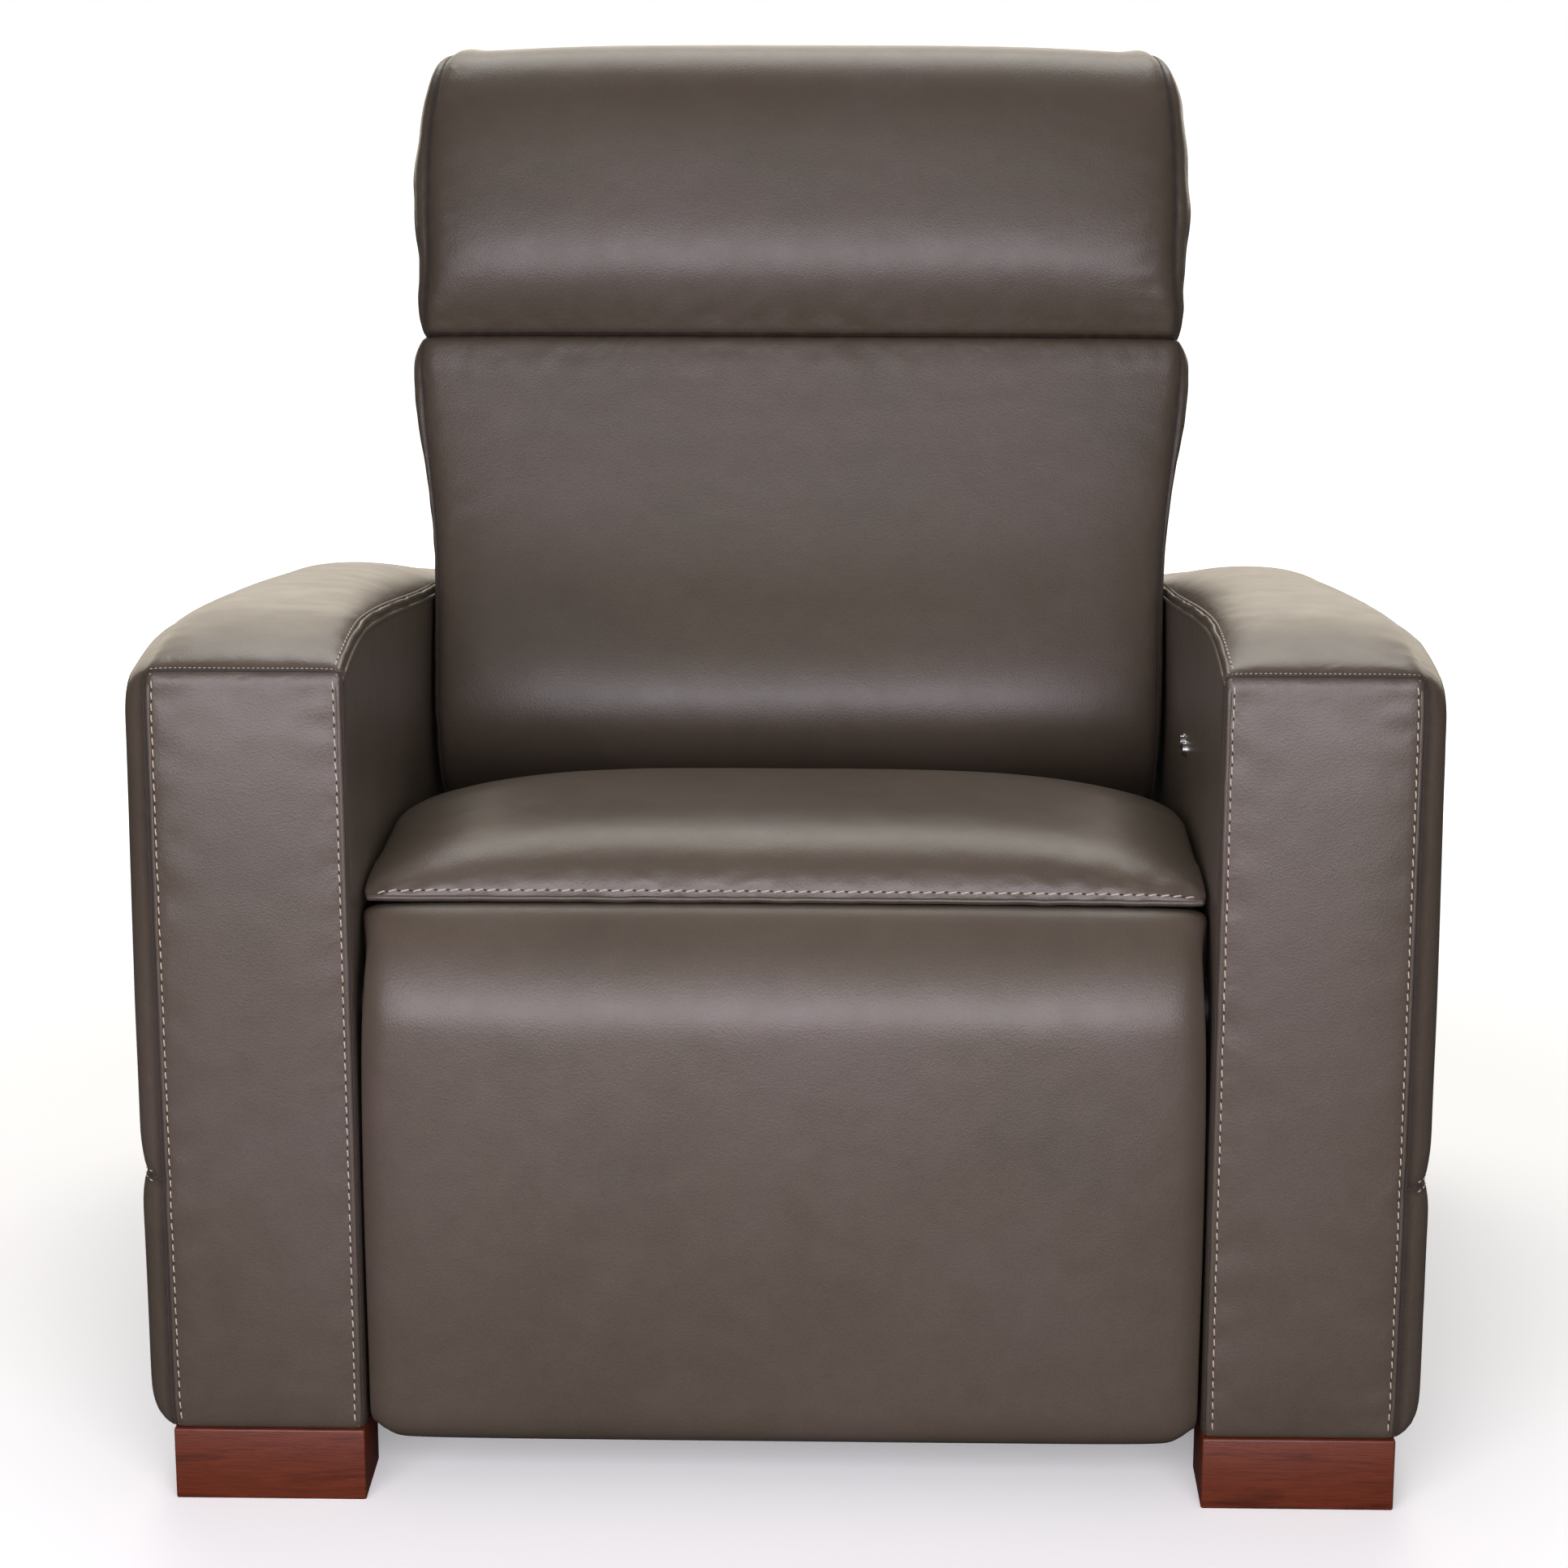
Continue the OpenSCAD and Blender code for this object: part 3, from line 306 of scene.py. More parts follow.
@dataclass(frozen=True)
class Leather:
    """Satin upholstery leather with fine grain, soft mottling and painted shade along the seams."""

    name: str = "leather_taupe"
    colour: tuple[int, int, int] = (86, 76, 65)
    cool: tuple[int, int, int] = (86, 75, 69)
    roughness: float = 0.40

    def make(self) -> bpy.types.Material:
        """Builds the material."""
        n = Surface(self.name)
        base, cool = tone(*self.colour), tone(*self.cool)
        cloud = n.noise(4.5, 4.0, 0.6)
        colour = n.ramp(cloud, [(0.30, darker(base, 0.86)), (0.52, base), (0.72, darker(cool, 1.12))])
        fleck = n.noise(55.0, 5.0, 0.7)
        colour = n.blend("MULTIPLY", 0.55, colour, n.ramp(fleck, [(0.25, (0.80, 0.80, 0.80)), (0.7, (1.0, 1.0, 1.0))]))
        grain = n.add("TexVoronoi", "Distance", {"Scale": 620.0, "Vector": n.place})
        colour = n.blend("MULTIPLY", 0.35, colour, n.ramp(grain, [(0.15, (1.0, 1.0, 1.0)), (0.75, (0.72, 0.70, 0.69))]))
        # Painted shade: the leather darkens along each seam by its seam mark, shade standing in the seam's valley.
        seam = n.mark("seam")
        colour = n.blend("MULTIPLY", seam, colour, (0.34, 0.30, 0.29))
        n.into("Base Color", colour)
        n.rough(n.noise(30.0, 3.0, 0.6), 0.14, self.roughness)
        pucker = n.value("SUBTRACT", n.noise(48.0, 1.5, 0.45, distortion=0.6), 0.5)
        near = n.mark("pucker")
        normal = n.bump(n.value("MULTIPLY", pucker, near), 0.004, 0.34)
        normal = n.bump(n.noise(22.0, 2.5, 0.5), 0.004, 0.10, below=normal)
        normal = n.bump(n.noise(520.0, 2.0, 0.6), 0.0004, 0.20, below=normal)
        normal = n.bump(grain, 0.0004, 0.22, below=normal)
        n.into("Normal", normal)
        n.set(Specular_IOR_Level=0.55)
        return n.material


@dataclass(frozen=True)
class Thread:
    """Twisted sewing thread; its dark copy is painted shade for the lines in the seams and the needle holes."""

    name: str
    colour: tuple[int, int, int]
    roughness: float = 0.7

    def make(self) -> bpy.types.Material:
        """Builds the material."""
        n = Surface(self.name)
        base = tone(*self.colour)
        ply = n.noise(900.0, 2.0, 0.5)
        n.into("Base Color", n.ramp(ply, [(0.3, darker(base, 0.72)), (0.6, base)]))
        n.into("Normal", n.bump(ply, 0.0003, 0.5))
        n.set(Roughness=self.roughness, Sheen_Weight=0.2)
        return n.material


@dataclass(frozen=True)
class Wood:
    """Wood with long grain, pores and growth rings along x."""

    name: str
    light: tuple[int, int, int]
    dark: tuple[int, int, int]
    roughness: float = 0.4
    coat: float = 0.3

    def make(self) -> bpy.types.Material:
        """Builds the material."""
        n = Surface(self.name)
        light, dark = tone(*self.light), tone(*self.dark)
        long = n.stretch((1.0, 9.0, 9.0))
        bands = n.noise(9.0, 5.0, 0.6, at=long, distortion=0.6)
        colour = n.ramp(bands, [(0.30, dark), (0.48, light), (0.60, darker(light, 0.82)), (0.75, light)])
        fine = n.noise(60.0, 4.0, 0.65, at=n.stretch((0.6, 14.0, 14.0)))
        colour = n.blend("MULTIPLY", 0.6, colour, n.ramp(fine, [(0.3, (0.62, 0.55, 0.5)), (0.62, (1.0, 1.0, 1.0))]))
        pores = n.noise(240.0, 2.0, 0.5, at=n.stretch((0.35, 6.0, 6.0)))
        colour = n.blend("MULTIPLY", 0.85, colour, n.ramp(pores, [(0.24, (0.25, 0.18, 0.15)), (0.36, (1.0, 1.0, 1.0))]))
        n.into("Base Color", colour)
        n.into("Normal", n.bump(pores, 0.0004, 0.3, below=n.bump(fine, 0.0006, 0.2)))
        n.into("Roughness", n.value("ADD", n.value("MULTIPLY", fine, 0.15), self.roughness - 0.05))
        n.set(Coat_Weight=self.coat, Coat_Roughness=0.25)
        return n.material


@dataclass(frozen=True)
class Metal:
    """Metal with fine brushing and faint stains."""

    name: str
    colour: tuple[int, int, int]
    roughness: float = 0.3
    metallic: float = 1.0
    grain: float = 300.0

    def make(self) -> bpy.types.Material:
        """Builds the material."""
        n = Surface(self.name)
        base = tone(*self.colour)
        cloud = n.noise(22.0, 4.0, 0.6)
        n.into("Base Color", n.ramp(cloud, [(0.3, darker(base, 0.86)), (0.65, base)]))
        brush = n.noise(self.grain, 3.0, 0.6)
        n.rough(brush, 0.14, self.roughness)
        n.into("Normal", n.bump(brush, 0.0002, 0.18))
        n.set(Metallic=self.metallic)
        return n.material


@dataclass(frozen=True)
class Plastic:
    """Moulded plastic or woven polymer with a fine texture."""

    name: str
    colour: tuple[int, int, int]
    roughness: float = 0.5
    texture: float = 500.0

    def make(self) -> bpy.types.Material:
        """Builds the material."""
        n = Surface(self.name)
        base = tone(*self.colour)
        spark = n.noise(self.texture, 3.0, 0.6)
        n.into("Base Color", n.ramp(n.noise(40.0, 3.0, 0.5), [(0.3, darker(base, 0.88)), (0.7, base)]))
        n.rough(spark, 0.16, self.roughness)
        n.into("Normal", n.bump(spark, 0.0002, 0.3))
        return n.material


@dataclass(frozen=True)
class Webbing:
    """Woven jute webbing."""

    name: str = "webbing_jute"
    colour: tuple[int, int, int] = (168, 150, 112)

    def make(self) -> bpy.types.Material:
        """Builds the material."""
        n = Surface(self.name)
        base = tone(*self.colour)
        weave = n.add("TexWave", "Fac", {"Scale": 180.0, "Vector": n.place})
        n.into("Base Color", n.ramp(weave, [(0.2, darker(base, 0.6)), (0.8, base)]))
        n.into("Normal", n.bump(weave, 0.0006, 0.6))
        n.set(Roughness=0.8)
        return n.material


class Finish(Enum):
    """The seat's finishes, each with a short name."""

    LEATHER = "leather"
    PLYWOOD = "plywood"
    FOOT_WOOD = "foot_wood"
    BLACK_STEEL = "black_steel"
    ZINC_STEEL = "zinc_steel"
    NYLON = "nylon"
    BLACK_PLASTIC = "black_plastic"
    CHROME = "chrome"
    WEBBING = "webbing"
    BEIGE_THREAD = "beige_thread"
    # Painted shade: the dark finish of the thin lines in the seams and of the needle holes.
    DARK_THREAD = "painted_shade"


class Finishes:
    """Makes each finish once and puts it on pieces and carried nodes."""

    def __init__(self) -> None:
        """Sets the recipe of each finish."""
        self.recipes = {
            Finish.LEATHER: Leather(),
            Finish.PLYWOOD: Wood("plywood_birch", (196, 168, 128), (160, 128, 90), 0.65, 0.0),
            Finish.FOOT_WOOD: Wood("foot_wood_cherry", (106, 45, 22), (74, 28, 13), 0.42, 0.1),
            Finish.BLACK_STEEL: Metal("steel_black", (38, 38, 40), 0.45, 0.6),
            Finish.ZINC_STEEL: Metal("steel_zinc", (168, 170, 172), 0.34),
            Finish.NYLON: Plastic("nylon_white", (205, 202, 194), 0.5),
            Finish.BLACK_PLASTIC: Plastic("plastic_black", (30, 30, 32), 0.45),
            Finish.CHROME: Metal("chrome_plate", (222, 222, 224), 0.12, 1.0, 600.0),
            Finish.WEBBING: Webbing(),
            Finish.BEIGE_THREAD: Thread("thread_beige", (196, 184, 164)),
            # The dark copy of the thread recipe is painted shade, for the lines in the seams and the needle holes.
            Finish.DARK_THREAD: Thread("painted_seam_shade", (44, 38, 35), 0.85),
        }
        self.made: dict[Finish, bpy.types.Material] = {}

    def get(self, finish: Finish) -> bpy.types.Material:
        """Gives a finish's material, made at its first use."""
        if finish not in self.made:
            self.made[finish] = self.recipes[finish].make()
        return self.made[finish]

    def put(self, piece: Piece, finish: Finish) -> None:
        """Gives a piece one finish all over."""
        piece.data.materials.clear()
        piece.data.materials.append(self.get(finish))


FINISHES = Finishes()


def new_piece(name: str, points: Sequence[Sequence[float]], faces: Sequence[Sequence[int]],
              finish: Finish) -> Piece:
    """Makes a smooth piece from points in metres.

    Args:
        name: The piece's name.
        points: Its points.
        faces: Point numbers of its faces.
        finish: Its finish.

    Returns:
        The piece.
    """
    mesh = bpy.data.meshes.new(name)
    mesh.from_pydata(points, [], faces)
    mesh.update()
    mesh.shade_smooth()
    piece = bpy.data.objects.new(name, mesh)
    bpy.context.scene.collection.objects.link(piece)
    FINISHES.put(piece, finish)
    return piece


class BoxGrid:
    """Closed box of small quads on the cube from -1 to 1, whose twelve edges are the sewing lines."""

    def __init__(self, cells: tuple[int, int, int], edge_share: float = 0.35) -> None:
        """Lays out the quads.

        Args:
            cells: Number of quads along x, y and z.
            edge_share: How much closer the rows get towards the edges.
        """
        self.cells = cells
        nx, ny, nz = cells
        self.index: dict[tuple[int, int, int], int] = {}
        rows: list[tuple[int, int, int]] = []
        for i in range(nx + 1):
            for j in range(ny + 1):
                for k in range(nz + 1):
                    if i in (0, nx) or j in (0, ny) or k in (0, nz):
                        self.index[(i, j, k)] = len(rows)
                        rows.append((i, j, k))
        unit = np.array(rows, float) / np.array(cells, float) * 2.0 - 1.0
        self.unit = (1.0 - edge_share) * unit + edge_share * np.sin(unit * math.pi / 2.0)
        self.quads = self._quads()

    def _quads(self) -> list[tuple[int, ...]]:
        """Lists the quads of the six sides, facing outwards."""
        quads = []
        there, back = ((0, 0), (0, 1), (1, 1), (1, 0)), ((0, 0), (1, 0), (1, 1), (0, 1))
        for axis, a, b, turn in ((0, 1, 2, there), (1, 0, 2, back), (2, 0, 1, there)):
            for i, j, side in product(range(self.cells[a]), range(self.cells[b]), (0, self.cells[axis])):
                corners = []
                for di, dj in turn:
                    key = [side, side, side]
                    key[a], key[b] = i + di, j + dj
                    corners.append(self.index[tuple(key)])
                quads.append(tuple(corners[::-1] if side else corners))
        return quads

    def edge(self, x: int | None, y: int | None, z: int | None) -> list[int]:
        """Lists the points along one edge of the box.

        Args:
            x: -1 or 1 where the edge lies on that side of x, None along the edge.
            y: The same for y.
            z: The same for z.

        Returns:
            Point numbers in order along the edge.
        """
        sides = []
        for cells, side in zip(self.cells, (x, y, z)):
            sides.append(range(cells + 1) if side is None else [0 if side < 0 else cells])
        return [self.index[i, j, k] for i in sides[0] for j in sides[1] for k in sides[2]]


@dataclass
class Seam:
    """A sewing line of a cover: its points, how wide and deep its valley is, how dark the painted shade along it is and
    how far its puckers reach.
    """

    name: str
    points: list[int]
    width: float = 9.0
    depth: float = 1.6
    # How dark the painted shade along the seam is.
    dark: float = 0.9
    pucker: float = 26.0


def densify(line: Array, step: float) -> Array:
    """Sets points along a line at an even step.

    Args:
        line: Rows of points.
        step: Distance between the new points.

    Returns:
        The even points, with both ends kept.
    """
    legs = np.linalg.norm(np.diff(line, axis=0), axis=1)
    reach = np.concatenate([[0.0], np.cumsum(legs)])
    count = max(2, int(round(reach[-1] / step)) + 1)
    at = np.linspace(0.0, reach[-1], count)
    return np.column_stack([np.interp(at, reach, line[:, c]) for c in range(3)])


def distances(points: Array, line: Array) -> Array:
    """Gives each point's distance to the nearest point of a line."""
    best = np.full(len(points), 1e9)
    for start in range(0, len(line), 64):
        part = line[start:start + 64]
        gap = ((points[:, None, :] - part[None, :, :]) ** 2).sum(axis=2).min(axis=1)
        best = np.minimum(best, gap)
    return np.sqrt(best)


class Skin:
    """Finds places and directions on a finished cover."""

    def __init__(self, piece: Piece) -> None:
        """Reads the cover's mesh."""
        mesh = piece.data
        self.tree = BVHTree.FromPolygons([v.co for v in mesh.vertices], [p.vertices[:] for p in mesh.polygons])

    def snap(self, point: Vector) -> tuple[Vector, Vector]:
        """Gives the nearest place on the cover and the direction out of it."""
        place, normal, _, _ = self.tree.find_nearest(point)
        return place, normal


def along(line: Array, skin: Skin, shift: Vector, offset: float, lift: float) -> Row:
    """Shifts a line over a cover and gives its places there.

    Args:
        line: Even points of the line in metres.
        skin: The cover under it.
        shift: Direction of the shift, or no direction for none.
        offset: Size of the shift in millimetres.
        lift: Height above the cover in millimetres.

    Returns:
        For each point its place, the way along the line and the way out of the cover.
    """
    rows = []
    push = shift.normalized() * (offset / 1000.0)
    for point in line:
        place, normal = skin.snap(Vector(point) + push)
        rows.append((place + normal * (lift / 1000.0), normal))
    out = []
    for i, (place, normal) in enumerate(rows):
        a, b = rows[max(i - 1, 0)][0], rows[min(i + 1, len(rows) - 1)][0]
        out.append((place, (b - a).normalized(), normal))
    return out


@dataclass
class Cover:
    """Leather cover over a stuffed form; a subclass gives the form and its tables.

    SEAMS holds each seam's name, the edge of the box that it follows and its further fields as in Seam. HELD holds
    an axis and a side, 0 for both sides, of each face that the stuffing leaves still. Sides along x are mirrored
    where side is -1.
    """

    name: str
    body: str
    nodes: tuple[str, ...]
    cells: tuple[int, int, int]
    fill: float = 0.85
    gather: float = 0.02
    cap: float = 8.0
    edge_share: float = 0.35
    side: int = 1
    grid: BoxGrid = field(init=False)
    piece: Piece = field(init=False)
    skin: Skin = field(init=False)
    seams: list[Seam] = field(init=False)

    SEAMS: ClassVar[SeamTable] = ()
    HELD: ClassVar[HeldTable] = ()
    ROUNDS: ClassVar[int] = 220
    THREAD_GIVE: ClassVar[float] = 0.9
    STUFFING_PUSH: ClassVar[float] = 0.006
    FIRST_SHAKE: ClassVar[float] = 0.0004
    CROSS_STIFFNESS: ClassVar[float] = 0.45
    STAY_STIFFNESS: ClassVar[float] = 0.3
    PULL_IN: ClassVar[float] = -0.0006
    GATHER_WIDTH: ClassVar[float] = 0.034
    GATHER_STEP: ClassVar[float] = 0.012
    KNOT_EVERY: ClassVar[int] = 5
    LEAST_GATHER: ClassVar[float] = 0.1
    BATCH: ClassVar[int] = 4000
    SHORTEST: ClassVar[float] = 1e-6
    VALLEY_SHARE: ClassVar[float] = 0.5
    SHADE_WIDTH: ClassVar[float] = 3.4
    PUCKER_START: ClassVar[float] = 5.0

    def form(self, unit: Array) -> Array:
        """Gives the form's points in millimetres for points of the unit cube.

        Args:
            unit: Points of the unit cube's surface.

        Returns:
            Rows of x, y and z.
        """
        raise NotImplementedError

    def sew(self) -> list[Seam]:
        """Lists the cover's seams from its table."""
        seams = []
        for name, (x, y, z), *measures in self.SEAMS:
            edge = self.grid.edge(None if x is None else x * self.side, y, z)
            seams.append(Seam(name, edge, *measures))
        return seams

    def held(self) -> list[int]:
        """Lists further points that the solver holds still, from the cover's table."""
        unit = self.grid.unit * (self.side, 1.0, 1.0)
        flat = np.zeros(len(unit), bool)
        for axis, side in self.HELD:
            flat |= (unit[:, axis] * side if side else np.abs(unit[:, axis])) > 0.999
        return np.nonzero(flat)[0].tolist()

    def trim(self) -> None:
        """Adds the stitches, welts and painted shade lines in the seams."""

    def build(self) -> None:
        """Makes, stuffs, sews and dresses the cover."""
        self.grid = BoxGrid(self.cells, self.edge_share)
        self.seams = self.sew()
        points = self.form(self.grid.unit) / 1000.0
        if self.cap > 0.0:
            points = self.stuff(points)
        self.piece = new_piece(self.name, points.tolist(), self.grid.quads, Finish.LEATHER)
        self.finish_mesh()
        self.skin = Skin(self.piece)
        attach(self.piece, self.body)
        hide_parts(*self.nodes)
        log.info("%s: %d points, %d seams", self.name, len(self.piece.data.vertices), len(self.seams))

    def threads(self) -> tuple[Array, Array]:
        """Lists the threads of the cover's net.

        Returns:
            Pairs of point numbers, and how stiff each thread is.
        """
        quads = np.array(self.grid.quads)
        sides = np.vstack([quads[:, [0, 1]], quads[:, [1, 2]], quads[:, [2, 3]], quads[:, [3, 0]]])
        sides = np.unique(np.sort(sides, axis=1), axis=0)
        crossed = np.vstack([quads[:, [0, 2]], quads[:, [1, 3]]])
        at = self.grid.index
        stays = []
        for i, j, k in at:
            for x, y, z in ((1, 0, 0), (0, 1, 0), (0, 0, 1)):
                a, b = (i - x, j - y, k - z), (i + x, j + y, k + z)
                if a in at and b in at:
                    stays.append((at[a], at[b]))
        pairs = np.vstack([sides, crossed, np.array(stays)])
        stiff = np.concatenate([np.full(len(sides), 1.0), np.full(len(crossed), self.CROSS_STIFFNESS),
                                np.full(len(stays), self.STAY_STIFFNESS)])
        return pairs, stiff

    def gathers(self, form: Array, middle: Array, way: Array) -> Array:
        """Gives the share by which each thread is cut long: more along a seam and close to it.

        Args:
            form: The form's points, in metres.
            middle: Middle of each thread.
            way: Direction of each thread.

        Returns:
            One share for each thread.
        """
        chance = np.random.default_rng(11 * len(form) + len(self.name))
        extra = np.full(len(middle), self.PULL_IN)
        for seam in self.seams:
            line = densify(form[seam.points], self.GATHER_STEP)
            ahead = np.gradient(line, axis=0)
            ahead /= np.maximum(np.linalg.norm(ahead, axis=1, keepdims=True), 1e-9)
            knots = chance.uniform(self.LEAST_GATHER, 1.0, len(line) // self.KNOT_EVERY + 2)
            loose = np.interp(np.linspace(0.0, len(knots) - 1.0, len(line)), np.arange(len(knots)), knots)
            for start in range(0, len(middle), self.BATCH):
                part = slice(start, start + self.BATCH)
                gap = ((middle[part, None, :] - line[None, :, :]) ** 2).sum(axis=2)
                pick = gap.argmin(axis=1)
                near = np.sqrt(gap[np.arange(len(pick)), pick])
                lengthwise = (way[part] * ahead[pick]).sum(axis=1) ** 2
                extra[part] += self.gather * np.exp(-((near / self.GATHER_WIDTH) ** 2)) * lengthwise * loose[pick]
        return extra

    def stuff(self, form: Array) -> Array:
        """Lays the cover's leather over its stuffing by a small cloth solver.

        The leather is a net of threads, held at the seams and resting on the springy stuffing. The threads along a
        seam are cut a little long, so the leather buckles into soft folds there and lies taut elsewhere. The result
        is the same on each run.

        Args:
            form: The form's points, in metres.

        Returns:
            The covered points, none moved by more than the cap.
        """
        free = np.ones((len(form), 1))
        free[sorted({p for seam in self.seams for p in seam.points} | set(self.held()))] = 0.0
        pairs, stiff = self.threads()
        a, b = pairs[:, 0], pairs[:, 1]
        way = form[b] - form[a]
        length = np.maximum(np.linalg.norm(way, axis=1), self.SHORTEST)
        extra = self.gathers(form, (form[a] + form[b]) / 2.0, way / length[:, None])
        wanted = length * (1.0 + np.where(stiff == self.STAY_STIFFNESS, 0.0, extra))
        count = np.bincount(a, stiff, len(form)) + np.bincount(b, stiff, len(form))
        chance = np.random.default_rng(len(form))
        points = form + free * chance.normal(0.0, self.FIRST_SHAKE, form.shape)
        for _ in range(self.ROUNDS):
            way = points[b] - points[a]
            now = np.maximum(np.linalg.norm(way, axis=1), self.SHORTEST)
            push = (stiff * (now - wanted) / now)[:, None] * way
            pull = np.column_stack([np.bincount(a, push[:, c], len(form)) - np.bincount(b, push[:, c], len(form))
                                    for c in range(3)])
            points += free * (self.THREAD_GIVE * pull / count[:, None] + self.STUFFING_PUSH * (form - points))
        step = points - form
        far = np.linalg.norm(step, axis=1, keepdims=True)
        limit = self.cap / 1000.0
        return form + step * np.where(far > 1e-9, limit * np.tanh(far / limit) / np.maximum(far, 1e-9), 0.0)

    def finish_mesh(self) -> None:
        """Subdivides the cover, presses the seams' valleys in and marks the painted shade along the seams and their
        puckers for the finish.
        """
        bpy.ops.object.select_all(action="DESELECT")
        self.piece.select_set(True)
        bpy.context.view_layer.objects.active = self.piece
        rounder = self.piece.modifiers.new("rounder", "SUBSURF")
        rounder.levels = rounder.render_levels = 1
        bpy.ops.object.modifier_apply(modifier=rounder.name)
        mesh = self.piece.data
        count = len(mesh.vertices)
        points, normals = np.empty((count, 3)), np.empty((count, 3))
        mesh.vertices.foreach_get("co", points.ravel())
        mesh.vertices.foreach_get("normal", normals.ravel())
        dark, pucker, press = np.zeros(count), np.zeros(count), np.zeros(count)
        for seam in self.seams:
            line = densify(points[seam.points], 0.004)
            near = distances(points, line) * 1000.0
            valley = np.exp(-((near / (seam.width * self.VALLEY_SHARE)) ** 2))
            press = np.maximum(press, seam.depth * valley)
            # Painted shade: a dark band along the seam, SHADE_WIDTH wide.
            dark = np.maximum(dark, seam.dark * np.exp(-((near / self.SHADE_WIDTH) ** 2)))
            pucker = np.maximum(pucker, smooth(1.0 - near / seam.pucker) * smooth(near / self.PUCKER_START))
        points = points - normals * press[:, None] / 1000.0
        mesh.vertices.foreach_set("co", points.ravel())
        for name, values in (("seam", dark), ("pucker", pucker)):
            layer = mesh.attributes.new(name, "FLOAT", "POINT")
            layer.data.foreach_set("value", values.astype(np.float32))
        mesh.update()
        mesh.shade_smooth()

    def beside(self, seam: str, step: float, shift: Sequence[float] = (0.0, 0.0, 0.0), offset: float = 0.0,
               lift: float = -0.1, cut: int = 0) -> Row:
        """Follows a seam of the finished cover.

        Args:
            seam: The seam's name.
            step: Distance between the places in millimetres.
            shift: Direction in which the row lies beside the seam.
            offset: How far beside the seam it lies in millimetres.
            lift: Height above the cover in millimetres.
            cut: Number of places left out at each end.

        Returns:
            The places with the ways along and out.
        """
        points = next(s.points for s in self.seams if s.name == seam)
        line = densify(np.array([self.piece.data.vertices[p].co[:] for p in points]), step / 1000.0)
        return along(line[cut:len(line) - cut], self.skin, Vector(shift), offset, lift)

    def shade(self, names: Sequence[str], radius: float, label: str, step: float = 10.0,
              cut: int = 0) -> list[Piece]:
        """Lays thin dark lines of painted shade into seams.

        Args:
            names: The seams.
            radius: The lines' radius in millimetres.
            label: Start of the pieces' names.
            step: Distance between the lines' points in millimetres.
            cut: Number of points left out at the end of each line.

        Returns:
            The lines.
        """
        thin = Piping(radius, Finish.DARK_THREAD, sides=1)
        rows = [(name, self.beside(name, step)) for name in names]
        return [thin.lay(f"{label}_{name}_line", self.body, row[:len(row) - cut]) for name, row in rows]


